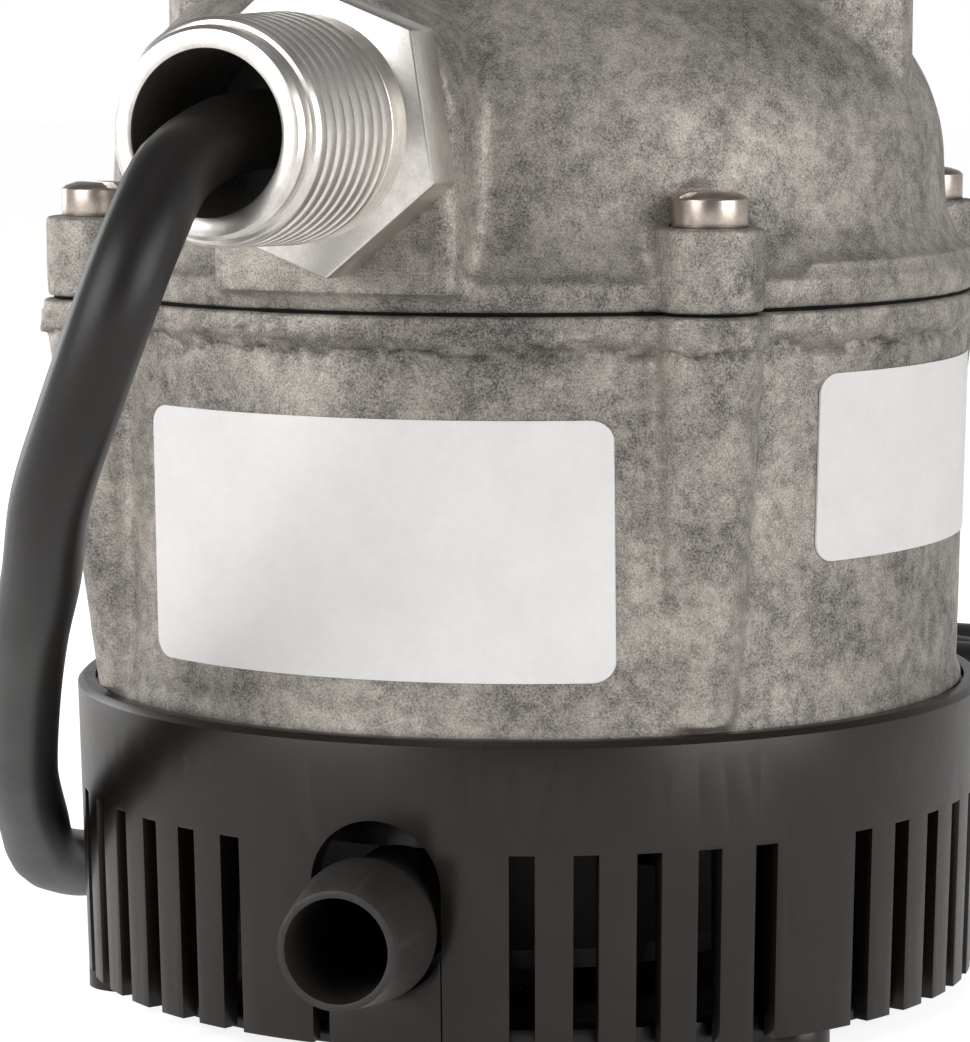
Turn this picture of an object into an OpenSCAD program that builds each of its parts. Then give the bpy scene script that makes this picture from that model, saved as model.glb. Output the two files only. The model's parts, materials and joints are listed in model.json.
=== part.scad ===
/* [Casing] */
// Height of the parting face between cover and housing
parting_z = 74; // [70.8:0.1:77]
// Outer radius of the housing's top flange
flange_r = 47.1; // [46.2:0.1:47.7]
// Outer radius of the housing at its top, under the flange band
housing_top_r = 46; // [45.4:0.1:46.4]
// Outer radius of the housing at its bottom edge
housing_foot_r = 45.2; // [44.7:0.1:45.4]
// Wall thickness of the housing and the cover
casing_wall = 3.2; // [2.4:0.1:3.8]
// Radius of the circle that the cover screws stand on
screw_circle_r = 46.9; // [46.2:0.1:47.4]
// Height of the seats under the cover screws' heads
screw_seat_z = 82.2; // [80.9:0.1:83.9]
// Height of the handle's top edge
handle_top_z = 150; // [142:0.5:152]
// Distance from the axis to the outer face of each handle leg
handle_reach = 41.8; // [41:0.1:42.4]

/* [Cord entry] */
// Height of the conduit adapter's axis
entry_z = 91.9; // [91:0.1:93]
// Distance from the axis to the flat face of the entry block
entry_face = 48; // [47.4:0.1:48.5]
// Radius of the adapter's clear bore
adapter_bore_r = 7.5; // [6.9:0.1:7.8]
// Diameter of the power cord
cord_d = 7.4; // [7:0.1:7.6]

/* [Base] */
// Height of the feet under the strainer ring
foot_h = 2.5; // [2.3:0.1:2.8]
// Outer radius of the strainer ring at its bottom edge
ring_foot_r = 47.1; // [47:0.1:47.3]
// Outer radius of the strainer ring at its top edge
ring_top_r = 47.9; // [47.7:0.1:48.2]
// Height of the strainer ring's top edge
ring_top_z = 33.2; // [33.2:0.1:33.4]
// Width of each intake slot
slot_w = 2.5; // [2:0.1:2.8]
// Height of the slots' upper ends
slot_top_z = 22.1; // [20:0.1:23.1]
// Direction of the discharge tube, from straight ahead towards +X
discharge_az = 9; // [8:0.5:10]
// Height of the discharge tube's axis
discharge_z = 15; // [14.8:0.1:15.1]
// Radius of the discharge tube's bore
discharge_bore_r = 5.1; // [4.6:0.1:5.3]

/* [Motor] */
// Radius of the motor shaft
shaft_r = 4; // [3.8:0.05:4.1]
// Radial running clearance of the bearings
running_gap = 0.03; // [0.02:0.01:0.06]
// Radial air gap between rotor and stator
air_gap = 0.4; // [0.3:0.05:0.6]

/* [Hidden] */
$fn = 64;

gasket_t = 0.5;
cover_z = parting_z + gasket_t / 2;
housing_z = parting_z - gasket_t / 2;
housing_floor_z = 32.3;
cavity_z = 36.2;
cavity_r = 42;
band_z = 70.8;
hub_z = 21.2;
hub_r = 13.1;
fit_gap = 0.02;
thread_gap = 0.1;

// Dome: a straight wall, then an arc that ends in a small flat top
dome_wall_r = 43.4;
dome_spring_z = 87;
dome_arc_r = 20;
dome_flat_r = dome_wall_r - dome_arc_r;
upper_hub_z = 89.5;
upper_hub_r = 10;
upper_bearing_l = 10.5;
upper_bearing_r = 6.5;

// Cover screws
screw_angles = [45, 135, 225, 315];
screw_shank_r = 1.85;
screw_head_r = 3.7;
screw_head_h = 3.4;

// Entry block and adapter
block_half_w = 12.9;
block_foot_z = 76;
block_corner_r = 1.85;
hex_flats = 25;
hex_turn = -21;
hex_t = 5.3;
collar_r = 10.7;
collar_t = 3.1;
thread_r = 10.9;
thread_l = 14.4;
thread_pitch = 1.814;
thread_depth = 1;
nose_l = 2.3;
nose_r = 9.4;
spigot_r = 9.9;
spigot_l = 9.2;
mouth_y = entry_face + hex_t + collar_t + thread_l + nose_l;
seal_face_y = 56.2;

// Strainer ring
slot_count = 48;
slot_pitch = 360 / slot_count;
ring_wall = 1.85;
ring_flange_z = 29.9;
ring_flange_r = 29.3;
// Slot positions, counted from straight ahead, that stay solid
solid_slots = [0, 1, 2, 8, 16, 24, 32, 40, 47];
// Cut-out for the discharge tube, which crosses the ring's wall at outlet_az
outlet_az = 4.9;
discharge_offset = -(ring_foot_r - 0.6) * sin(discharge_az - outlet_az);
arch_r = 6.7;
arch_z = 18.4;
foot_angles = [60, 120, 180, 240, 300];
foot_r = 4.4;
foot_circle_r = 42.7;
post_r = 3.85;
plate_r = 44.4;
plate_t = 1.8;
plate_top_z = foot_h + plate_t;
base_screw_r = 1.45;

// Volute
volute_shift = 2.7;
chamber_r = 22.7;
chamber_floor_z = 8.5;
chamber_top_z = 20.8;
volute_wall = 2.3;
carrier_r = 38.3;
carrier_top_z = 23.1;
pump_screw_circle_r = 33.9;
pump_screw_r = 1.85;
lug_angles = [95, 185, 275];
lug_r = 3.45;
lug_reach = chamber_r + volute_wall + 1.2;
intake_t = 1.9;
eye_r = 8.5;
neck_r = 6;
barb_root = 50.4;
barb_crest_r = 7.1;
barb_tip_r = 5.8;
barb_l = 9.1;
barb_land = 0.8;

// Motor
stator_z = 47.7;
stator_h = 27.7;
stator_r = 38.7;
stator_bore_r = 19.2;
stator_slots = 24;
slot_in_r = 21.6;
slot_out_r = 29.3;
winding_in_r = 22.3;
winding_out_r = 33.9;
lower_bearing_r = 6.9;
shaft_tip_r = 3.2;
shaft_step_z = 86.2;
shaft_top_z = 99.5;
shaft_foot_z = 6;
impeller_z = 9.4;
impeller_r = 17.7;
vane_h = 5.6;
shroud_t = 1.5;
impeller_top_z = impeller_z + vane_h + shroud_t;
turn_h = 7.3;
turns_top_z = stator_z + stator_h + turn_h;
lower_bearing_z = 31.6;
lower_hub_r = 10.8;
lower_hub_z = 43.1;
bearing_flange_t = 1.2;

// Shaft seal
seat_z = 22.7;
o_ring_z = 22;
o_ring_r = 0.7;
o_ring_depth = 1.25;
hub_gap = 0.15;
seal_pocket_r = 9.8;
seal_pocket_z = 25.8;
seal_head_z = 19.2;
seal_gap = 0.15;

// Cord: floor-level run, coil and tail
cord_r = cord_d / 2;
cord_sides = 10;
coil_at = [-24, 112];
coil_start_r = 54;
coil_pitch = 8.2;
coil_layer = 8.2;
coil_low_z = 3.8;
coil_turns_low = 2.25;
coil_climb = 0.5;
coil_turns_top = 2.5;
loop_rings = 24;
coil_sides = 6;

cord_route = [
    [0, -56.2, entry_z], [0, -64, entry_z], [0, -70.6, 91.3], [-0.7, -77.7, 88.7], [-0.5, -84, 83.4],
    [-1.8, -87, 77], [-6, -86, 68], [-11.5, -81.5, 59.5], [-17, -74, 51], [-23, -66, 44],
    [-30.5, -54.5, 35.5], [-38.5, -41, 26], [-44.5, -28.5, 18.5], [-50.5, -15.5, 12],
    [-55, 1, 7.5], [-59.5, 18, 5], [-64.5, 37, 4], [-70, 56, 3.8], [-74.5, 73, 3.8],
    [-77, 88, 3.8], [-78, 97, 3.8], [-78, 104.6, 3.8]
];
tail_route = [
    [-16.6, 168.05, 12], [-6.6, 165.9, 12.2], [10.9, 156.6, 13.6], [24.2, 142.1, 16.4],
    [31.4, 123.8, 19.2], [30.5, 104.4, 20.6], [21.9, 87.6, 21.6], [13.5, 77.5, 23.8],
    [3.8, 70.5, 26.2], [-4.4, 68, 27.6], [-12, 68, 27.8]
];
plug_at = [-12, 68, 27.8];

/* Sweeping helpers */

function unit(v) = v / norm(v);

// Direction of a path at point i, as the mean of its two neighbouring segments
function heading(path, i) =
    i == 0 ? unit(path[1] - path[0])
    : i == len(path) - 1 ? unit(path[i] - path[i - 1])
    : unit(unit(path[i + 1] - path[i]) + unit(path[i] - path[i - 1]));

// Sideways direction carried along the path without twist
function carried(path, i, start) =
    i == 0 ? unit(start - (start * heading(path, 0)) * heading(path, 0))
    : let (before = carried(path, i - 1, start), way = heading(path, i))
      unit(before - (before * way) * way);

// The same for a path that stays nearly level, worked out from the point alone
function level_side(path, i) = unit(cross([0, 0, 1], heading(path, i)));

// Triangles of a tube with ring_n rings of side_n points, closed at both ends
function tube_faces(ring_n, side_n) = concat(
    [for (k = [0:ring_n - 2], s = [0:side_n - 1])
        [k * side_n + s, (k + 1) * side_n + s, k * side_n + (s + 1) % side_n]],
    [for (k = [0:ring_n - 2], s = [0:side_n - 1])
        [k * side_n + (s + 1) % side_n, (k + 1) * side_n + s, (k + 1) * side_n + (s + 1) % side_n]],
    [for (s = [1:side_n - 2]) [0, s, s + 1]],
    [for (s = [1:side_n - 2])
        [(ring_n - 1) * side_n, (ring_n - 1) * side_n + s + 1, (ring_n - 1) * side_n + s]]
);

// One ring of side_n points round a path point
function ring_points(path, i, side, r, side_n) =
    let (up = cross(heading(path, i), side))
    [for (s = [0:side_n - 1])
        path[i] + r * (cos(360 * (s + 0.5) / side_n) * side + sin(360 * (s + 0.5) / side_n) * up)];

module swept_tube(path, r, side_n, start = [1, 0, 0]) {
    points = [for (i = [0:len(path) - 1]) each ring_points(path, i, carried(path, i, start), r, side_n)];
    polyhedron(points, tube_faces(len(path), side_n), convexity = 10);
}

module level_tube(path, r, side_n) {
    points = [for (i = [0:len(path) - 1]) each ring_points(path, i, level_side(path, i), r, side_n)];
    polyhedron(points, tube_faces(len(path), side_n), convexity = 10);
}

/* Placing helpers */

// Azimuth 0 points straight ahead (-Y) and grows towards +X
module at_az(az, r) {
    rotate([0, 0, az])
        translate([0, -r, 0])
            children();
}

module ring(outer_r, inner_r, z0, z1) {
    difference() {
        translate([0, 0, z0])
            cylinder(h = z1 - z0, r = outer_r);
        translate([0, 0, z0 - 1])
            cylinder(h = z1 - z0 + 2, r = inner_r);
    }
}

module disc(r, z0, z1) {
    translate([0, 0, z0])
        cylinder(h = z1 - z0, r = r);
}

// Cylinder or cone lying along -Y, from distance y0 to y1 in front of the axis
module ahead(y0, y1, r0, r1, z) {
    translate([0, -y0, z])
        rotate([90, 0, 0])
            cylinder(h = y1 - y0, r1 = r0, r2 = r1);
}

/* Top cover */

ground_boss_x = 36.2;
ground_z = 87;
ground_screw_r = 1.2;

module dome_solid(shrink, z0) {
    wall_r = dome_wall_r - shrink;
    arc_r = dome_arc_r - shrink;
    translate([0, 0, z0])
        cylinder(h = dome_spring_z - z0, r = wall_r);
    rotate_extrude()
        translate([0, dome_spring_z])
            union() {
                square([dome_flat_r + 0.01, arc_r]);
                translate([dome_flat_r, 0])
                    intersection() {
                        circle(r = arc_r, $fn = 96);
                        square(arc_r + 1);
                    }
            }
}

// Cove that flares from the dome's wall to the flange
module cover_flange() {
    rotate_extrude()
        polygon([
            [23.1, cover_z], [46.7, cover_z], [46.7, 74.9], [47, 75.1], [47, 76.9], [46.7, 77.2],
            [46, 77.4], [45.6, 78.3], [45, 79.5], [44.1, 81.2], [43.7, 82.5],
            [dome_wall_r, dome_spring_z], [23.1, dome_spring_z]
        ]);
}

// Section of the handle, as distance in from its outer face and half width: narrow outside,
// wide at the grip side
handle_w = 10.4;
handle_edge = 1.5;
handle_bevel = 4.3;
handle_round = 1.5;
handle_half = 7.1;
handle_corner = 13.1;
handle_foot_z = 84;
handle_section = [
    [0, -handle_edge], [0, handle_edge], [handle_bevel, handle_half],
    [handle_w - handle_round, handle_half], [handle_w, handle_half - handle_round],
    [handle_w, handle_round - handle_half], [handle_w - handle_round, -handle_half],
    [handle_bevel, -handle_half]
];

module handle_leg(side) {
    translate([0, 0, handle_foot_z])
        linear_extrude(handle_top_z - handle_corner - handle_foot_z)
            polygon([for (p = handle_section) [side * (handle_reach - p[0]), p[1]]]);
}

module handle_corner_piece(side) {
    translate([side * (handle_reach - handle_corner), 0, handle_top_z - handle_corner])
        rotate([90, 0, 0])
            intersection() {
                rotate_extrude()
                    polygon([for (p = handle_section) [handle_corner - p[0], p[1]]]);
                translate([side > 0 ? 0 : -30, 0, -10])
                    cube([30, 30, 20]);
            }
}

module handle_bar_piece() {
    half = handle_reach - handle_corner;
    translate([-half, 0, handle_top_z])
        rotate([90, 0, 90])
            linear_extrude(2 * half)
                polygon([for (p = handle_section) [p[1], -p[0]]]);
}

module handle() {
    for (side = [-1, 1]) {
        handle_leg(side);
        handle_corner_piece(side);
    }
    handle_bar_piece();
}

module entry_block() {
    depth = 26.2;
    translate([0, -entry_face, 0])
        intersection() {
            translate([0, depth, 0])
                rotate([90, 0, 0])
                    linear_extrude(depth)
                        union() {
                            translate([-block_half_w, block_foot_z])
                                square([2 * block_half_w, entry_z - block_foot_z]);
                            translate([0, entry_z])
                                circle(r = block_half_w);
                        }
            translate([0, 0, block_foot_z - 1])
                linear_extrude(46.2)
                    union() {
                        translate([-block_half_w, block_corner_r])
                            square([2 * block_half_w, depth]);
                        translate([block_corner_r - block_half_w, 0])
                            square([2 * (block_half_w - block_corner_r), depth]);
                        for (side = [-1, 1])
                            translate([side * (block_half_w - block_corner_r), block_corner_r])
                                circle(r = block_corner_r);
                    }
        }
}

// Boss under each cover screw, whose flanks sweep into the dome's wall
boss_r = 5.3;
boss_sweep_r = 2.6;

module boss_sweep(side) {
    reach = dome_wall_r + boss_sweep_r;
    turn = acos((pow(screw_circle_r, 2) + pow(reach, 2) - pow(boss_r + boss_sweep_r, 2))
        / (2 * screw_circle_r * reach));
    inner_r = dome_wall_r - casing_wall / 2;
    translate([0, 0, 76])
        linear_extrude(screw_seat_z - 76)
            difference() {
                polygon([
                    [0, -screw_circle_r], [side * reach * sin(turn), -reach * cos(turn)],
                    [side * inner_r * sin(turn), -inner_r * cos(turn)], [0, -inner_r]
                ]);
                translate([side * reach * sin(turn), -reach * cos(turn)])
                    circle(r = boss_sweep_r);
            }
}

module cover_bosses() {
    for (a = screw_angles) {
        at_az(a, screw_circle_r) {
            disc(boss_r - 0.1, cover_z, 76);
            disc(boss_r, 75.9, screw_seat_z);
        }
        for (side = [-1, 1])
            at_az(a, 0)
                boss_sweep(side);
    }
}

// Raised pad on the flange under each handle leg
module flange_pad(side) {
    pad_r = 46.5;
    half_turn = 31;
    intersection() {
        ring(pad_r, dome_wall_r - casing_wall / 2, 77, 78.5);
        linear_extrude(100)
            polygon([
                [0, 0], [side * 60, -60 * tan(half_turn)], [side * 60, 60 * tan(half_turn)]
            ]);
    }
}

module top_cover() {
    color([0.6, 0.58, 0.55])
        difference() {
            union() {
                dome_solid(0, 77);
                cover_flange();
                handle();
                entry_block();
                cover_bosses();
                for (side = [-1, 1])
                    flange_pad(side);
            }
            difference() {
                dome_solid(casing_wall, cover_z - 1);
                disc(upper_hub_r, upper_hub_z, 125);
                translate([ground_boss_x, 0, ground_z])
                    rotate([0, 90, 0])
                        cylinder(h = 5, r = 3);
            }
            disc(upper_bearing_r + fit_gap, upper_hub_z - 1, upper_hub_z + upper_bearing_l);
            ahead(30, entry_face + 1, spigot_r + thread_gap, spigot_r + thread_gap, entry_z);
            for (a = screw_angles)
                at_az(a, screw_circle_r) {
                    disc(screw_shank_r + 0.3, cover_z - 1, screw_seat_z + 1);
                    disc(screw_head_r + 0.3, screw_seat_z, screw_seat_z + 5);
                }
            translate([ground_boss_x - 1, 0, ground_z])
                rotate([0, 90, 0])
                    cylinder(h = 6.5, r = ground_screw_r + thread_gap);
        }
}

module cover_gasket() {
    color([0.1, 0.1, 0.1])
        difference() {
            union() {
                disc(46.4, housing_z, cover_z);
                for (a = screw_angles)
                    at_az(a, screw_circle_r)
                        disc(4.6, housing_z, cover_z);
            }
            disc(cavity_r, housing_z - 1, cover_z + 1);
            for (a = screw_angles)
                at_az(a, screw_circle_r)
                    disc(screw_shank_r + 0.3, housing_z - 1, cover_z + 1);
        }
}

/* Motor housing */

// Column under each cover screw, leaning in towards its foot
module screw_column(az) {
    top_r = 46.9;
    foot_at = 43;
    top_at_z = 70.8;
    foot_at_z = 34.2;
    lean = atan((top_r - foot_at) / (top_at_z - foot_at_z));
    length = norm([top_r - foot_at, top_at_z - foot_at_z]);
    at_az(az, 0) {
        translate([0, -foot_at, foot_at_z])
            rotate([lean, 0, 0])
                cylinder(h = length, r1 = 4.3, r2 = 5.3);
        translate([0, -screw_circle_r, 0])
            disc(5.7, band_z, housing_z);
    }
}

module housing_outside() {
    rotate_extrude()
        polygon([
            [0, housing_floor_z], [housing_foot_r + 0.5, housing_floor_z],
            [housing_foot_r + 0.5, 34], [housing_foot_r, 34.3], [housing_top_r, band_z],
            [flange_r, band_z + 0.9], [flange_r, housing_z], [0, housing_z]
        ]);
    for (a = screw_angles)
        screw_column(a);
    disc(hub_r, hub_z, housing_floor_z);
}

module housing_cavity() {
    shoulder_r = 37.3;
    difference() {
        disc(cavity_r, cavity_z, housing_z + 1);
        // bearing hub, screw bosses and the shouldered pads that hold the stator
        disc(lower_hub_r, cavity_z - 1, lower_hub_z);
        for (a = screw_angles) {
            at_az(a, pump_screw_circle_r)
                disc(4.6, cavity_z - 1, 39.7);
            at_az(a, 0)
                translate([-5.4, -cavity_r - 1, cavity_z - 1])
                    cube([10.8, cavity_r + 1 - shoulder_r, housing_z + 2 - cavity_z]);
        }
    }
}

module motor_housing() {
    color([0.6, 0.58, 0.55])
        difference() {
            housing_outside();
            housing_cavity();
            disc(stator_r + fit_gap, stator_z, housing_z + 1);
            disc(lower_bearing_r + fit_gap, lower_bearing_z, lower_hub_z + 1);
            disc(shaft_r + 0.8, hub_z - 1, lower_bearing_z + 1);
            disc(seal_pocket_r + fit_gap, hub_z - 1, seal_pocket_z);
            ring(hub_r + 1, hub_r - o_ring_depth, o_ring_z - 0.8, o_ring_z + 0.8);
            for (a = screw_angles) {
                at_az(a, pump_screw_circle_r)
                    disc(pump_screw_r + thread_gap, housing_floor_z - 1, 38.5);
                at_az(a, screw_circle_r)
                    disc(screw_shank_r + thread_gap, 60.5, housing_z + 1);
            }
        }
}

// Slotted cheese-head screw with its head above z and its shank below
module slotted_screw(z, shank, head_r, head_h, shank_r) {
    difference() {
        union() {
            rotate_extrude()
                polygon([
                    [0, z], [head_r, z], [head_r, z + 0.8 * head_h],
                    [head_r - 0.4, z + 0.9 * head_h], [head_r - 1.4, z + head_h], [0, z + head_h]
                ]);
            disc(shank_r, z - shank, z + 0.1);
        }
        translate([-head_r, -0.6, z + 0.8 * head_h])
            cube([2 * head_r, 1.2, head_h]);
    }
}

module cover_screws() {
    turns = [20, 75, 140, 10];
    color([0.78, 0.76, 0.74])
        for (k = [0:3])
            at_az(screw_angles[k], screw_circle_r)
                rotate([0, 0, turns[k]])
                    slotted_screw(screw_seat_z, 20.8, screw_head_r, screw_head_h, screw_shank_r);
}

/* Cord entry */

// Crests of the tapered pipe thread
module thread_ridges(y0) {
    count = floor(thread_l / thread_pitch);
    rise = 0.75;
    for (k = [0:count - 1]) {
        y = y0 + 0.3 + k * thread_pitch;
        crest = thread_r - (y - y0) / 32;
        ahead(y, y + rise, crest - thread_depth, crest, entry_z);
        ahead(y + rise, y + 2 * rise, crest, crest - thread_depth, entry_z);
    }
}

module conduit_adapter() {
    collar_y = entry_face + hex_t;
    thread_y = collar_y + collar_t;
    nose_y = thread_y + thread_l;
    core_r = thread_r - thread_depth;
    chamfer_r = hex_flats / 2 + 0.4;
    mouth_bevel = 0.6;
    color([0.86, 0.85, 0.83])
        difference() {
            union() {
                translate([0, -entry_face, entry_z])
                    rotate([90, 0, 0])
                        intersection() {
                            rotate([0, 0, hex_turn])
                                cylinder(h = hex_t, r = hex_flats / sqrt(3), $fn = 6);
                            cylinder(h = hex_t, r1 = chamfer_r + 2 * hex_t, r2 = chamfer_r);
                        }
                ahead(collar_y - 0.1, thread_y, collar_r, collar_r, entry_z);
                ahead(thread_y - 0.1, nose_y + 0.1, core_r + 0.05, core_r - 0.4, entry_z);
                thread_ridges(thread_y);
                ahead(nose_y, mouth_y, nose_r + 0.8, nose_r, entry_z);
                ahead(entry_face - spigot_l, entry_face + 0.1, spigot_r, spigot_r, entry_z);
            }
            ahead(entry_face - spigot_l - 1, mouth_y + 1, adapter_bore_r, adapter_bore_r, entry_z);
            ahead(mouth_y - mouth_bevel, mouth_y + 0.1, adapter_bore_r,
                adapter_bore_r + mouth_bevel + 0.1, entry_z);
        }
}

wire_r = 1;
wire_start_y = 42;
wire_pitch = 3.1;

module cord_seal() {
    seal_r = adapter_bore_r - fit_gap;
    color([0.08, 0.08, 0.08])
        difference() {
            ahead(entry_face - spigot_l + 0.5, seal_face_y, seal_r, seal_r, entry_z);
            for (x = [-wire_pitch, 0, wire_pitch])
                translate([x, 0, 0])
                    ahead(36, wire_start_y, wire_r + 0.05, wire_r + 0.05, entry_z);
        }
}

/* Labels */

module label_plate(az, half_w, z0, z1) {
    corner = 2;
    gap = 0.04;
    sheet = 0.16;
    at_az(az, 0)
        intersection() {
            rotate_extrude()
                polygon([
                    [housing_foot_r + gap, 34.3], [housing_foot_r + gap + sheet, 34.3],
                    [housing_top_r + gap + sheet, band_z], [housing_top_r + gap, band_z]
                ]);
            translate([0, -25, 0])
                rotate([90, 0, 0])
                    linear_extrude(30)
                        union() {
                            translate([-half_w, z0 + corner])
                                square([2 * half_w, z1 - z0 - 2 * corner]);
                            translate([corner - half_w, z0])
                                square([2 * (half_w - corner), z1 - z0]);
                            for (x = [-1, 1], z = [z0 + corner, z1 - corner])
                                translate([x * (half_w - corner), z])
                                    circle(r = corner);
                        }
        }
}

module front_label() {
    color([0.96, 0.96, 0.95])
        label_plate(1.2, 24.6, 38.5, 63.9);
}

module side_label() {
    color([0.96, 0.96, 0.95])
        label_plate(88, 20.6, 49, 67.5);
}

/* Base */

module strainer_wall() {
    rotate_extrude()
        polygon([
            [ring_foot_r - ring_wall, foot_h], [ring_foot_r, foot_h], [ring_top_r, ring_top_z - 0.6],
            [ring_top_r - 0.6, ring_top_z], [ring_top_r - 1.85, ring_top_z],
            [ring_top_r - 1.85, housing_floor_z], [ring_flange_r, housing_floor_z],
            [ring_flange_r, ring_flange_z], [ring_top_r - 3.1, ring_flange_z],
            [ring_top_r - 3.1, ring_flange_z - 1.15]
        ]);
}

module strainer_ring() {
    color([0.24, 0.22, 0.21])
        difference() {
            union() {
                strainer_wall();
                for (a = foot_angles)
                    at_az(a, foot_circle_r)
                        disc(post_r, plate_top_z, ring_flange_z + 1);
            }
            for (k = [0:slot_count - 1])
                if (len(search(k, solid_slots)) == 0)
                    at_az(k * slot_pitch, 0)
                        translate([-slot_w / 2, -ring_top_r - 1, 0])
                            cube([slot_w, 5, slot_top_z]);
            at_az(outlet_az, 0) {
                translate([-arch_r, -ring_top_r - 1, 0])
                    cube([2 * arch_r, 4.6, arch_z]);
                ahead(ring_top_r - 3.85, ring_top_r + 1, arch_r, arch_r, arch_z);
            }
            for (a = foot_angles)
                at_az(a, foot_circle_r)
                    disc(base_screw_r + thread_gap, plate_top_z - 1, 17);
            for (a = screw_angles)
                at_az(a, pump_screw_circle_r)
                    disc(pump_screw_r + 0.2, ring_flange_z - 1, housing_floor_z + 1);
        }
}

// Tab that closes the cut-out below the discharge tube; it leaves a gap at its left side
tab_left = 1.8 - arch_r;
tab_right = arch_r - 0.15;

module discharge_tab() {
    hollow_r = 7.4;
    at_az(outlet_az, 0)
        intersection() {
            rotate_extrude()
                polygon([
                    [ring_foot_r - ring_wall, foot_h], [ring_foot_r, foot_h],
                    [ring_foot_r + 0.35, arch_z], [ring_foot_r - ring_wall + 0.35, arch_z]
                ]);
            difference() {
                translate([tab_left, -ring_top_r - 1, 0])
                    cube([tab_right - tab_left, 8, discharge_z - 3.4]);
                ahead(38.5, 53.9, hollow_r, hollow_r, discharge_z);
            }
        }
}

module base_plate() {
    color([0.24, 0.22, 0.21])
        difference() {
            union() {
                disc(plate_r, foot_h - 0.5, plate_top_z);
                disc(10.8, 0, foot_h + 0.1);
                for (a = foot_angles)
                    at_az(a, foot_circle_r)
                        disc(foot_r, 0, foot_h);
                discharge_tab();
                at_az(outlet_az, 0)
                    translate([tab_left, -45.6, foot_h])
                        cube([tab_right - tab_left, 4.6, plate_t]);
            }
            for (a = foot_angles)
                at_az(a, foot_circle_r) {
                    disc(base_screw_r + 0.3, -1, plate_top_z + 1);
                    disc(3.1, -1, 2.2);
                }
        }
}

module base_screws() {
    color([0.75, 0.74, 0.72])
        for (a = foot_angles)
            at_az(a, foot_circle_r)
                difference() {
                    union() {
                        disc(2.75, 0.5, 2.2);
                        disc(base_screw_r, 2.1, 13.9);
                    }
                    translate([-3.1, -0.5, 0])
                        cube([6.2, 1, 1.15]);
                }
}

/* Pump end */

module volute_block(grow, z0, z1) {
    at_az(outlet_az, volute_shift)
        disc(chamber_r + grow, z0, z1);
}

// The discharge tube leaves the chamber beside its centre, as a volute's outlet does
module along_discharge() {
    at_az(discharge_az, 0)
        translate([discharge_offset, 0, 0])
            children();
}

module volute_casing() {
    neck_y = barb_root;
    crest_y = barb_root + barb_land;
    tip_y = crest_y + barb_l;
    color([0.24, 0.22, 0.21])
        difference() {
            union() {
                disc(carrier_r, chamber_top_z, carrier_top_z);
                volute_block(volute_wall, chamber_floor_z, chamber_top_z + 1);
                for (a = lug_angles)
                    at_az(outlet_az, volute_shift)
                        at_az(a - outlet_az, lug_reach)
                            disc(lug_r, chamber_floor_z, chamber_top_z + 1);
                for (a = screw_angles)
                    at_az(a, pump_screw_circle_r)
                        disc(4, carrier_top_z - 1, ring_flange_z);
                along_discharge() {
                    ahead(20, neck_y + 0.1, neck_r, neck_r, discharge_z);
                    ahead(neck_y, crest_y, barb_crest_r, barb_crest_r, discharge_z);
                    ahead(crest_y, tip_y, barb_crest_r, barb_tip_r, discharge_z);
                }
            }
            volute_block(0, chamber_floor_z - 1, chamber_top_z);
            disc(hub_r + hub_gap, chamber_top_z - 1, carrier_top_z + 1);
            along_discharge()
                ahead(19.2, tip_y + 1, discharge_bore_r, discharge_bore_r, discharge_z);
            for (a = screw_angles)
                at_az(a, pump_screw_circle_r)
                    disc(pump_screw_r + 0.2, chamber_top_z - 1, ring_flange_z + 1);
            for (a = lug_angles)
                at_az(outlet_az, volute_shift)
                    at_az(a - outlet_az, lug_reach)
                        disc(1.25, chamber_floor_z - 1, 16.9);
        }
}

module intake_cover() {
    low_z = chamber_floor_z - intake_t;
    color([0.24, 0.22, 0.21])
        difference() {
            union() {
                volute_block(volute_wall, low_z, chamber_floor_z);
                for (a = lug_angles)
                    at_az(outlet_az, volute_shift)
                        at_az(a - outlet_az, lug_reach)
                            disc(lug_r, low_z, chamber_floor_z);
            }
            disc(eye_r, low_z - 1, chamber_floor_z + 1);
            for (a = lug_angles)
                at_az(outlet_az, volute_shift)
                    at_az(a - outlet_az, lug_reach)
                        disc(1.3, low_z - 1, chamber_floor_z + 1);
        }
}

module intake_screws() {
    low_z = chamber_floor_z - intake_t;
    color([0.75, 0.74, 0.72])
        for (a = lug_angles)
            at_az(outlet_az, volute_shift)
                at_az(a - outlet_az, lug_reach)
                    translate([0, 0, low_z])
                        rotate([180, 0, 0])
                            slotted_screw(0, 8.5, 2.3, 1.7, 1.15);
}

module pump_screws() {
    color([0.75, 0.74, 0.72])
        for (a = screw_angles)
            at_az(a, pump_screw_circle_r)
                translate([0, 0, chamber_top_z])
                    rotate([180, 0, 0])
                        slotted_screw(0, 16.9, 3.15, 2.45, pump_screw_r);
}

module hub_o_ring() {
    color([0.1, 0.1, 0.1])
        rotate_extrude()
            translate([hub_r + hub_gap - o_ring_r, o_ring_z])
                circle(r = o_ring_r);
}

/* Motor parts */

module stator_core() {
    color([0.45, 0.45, 0.47])
        difference() {
            ring(stator_r, stator_bore_r, stator_z, stator_z + stator_h);
            for (k = [0:stator_slots - 1])
                at_az(k * 360 / stator_slots, 0)
                    translate([-1.3, -slot_out_r, stator_z - 1])
                        cube([2.6, slot_out_r - slot_in_r, stator_h + 1.55]);
        }
}

module stator_windings() {
    color([0.72, 0.4, 0.2]) {
        ring(winding_out_r, winding_in_r, stator_z - turn_h, stator_z - 0.2);
        ring(winding_out_r, winding_in_r, stator_z + stator_h + 0.2, stator_z + stator_h + turn_h);
        for (k = [0:stator_slots - 1])
            at_az(k * 360 / stator_slots, 0)
                translate([-1.15, -slot_out_r + 0.2, stator_z - 1])
                    cube([2.3, slot_out_r - winding_in_r - 0.4, stator_h + 1.55]);
    }
}

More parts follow.
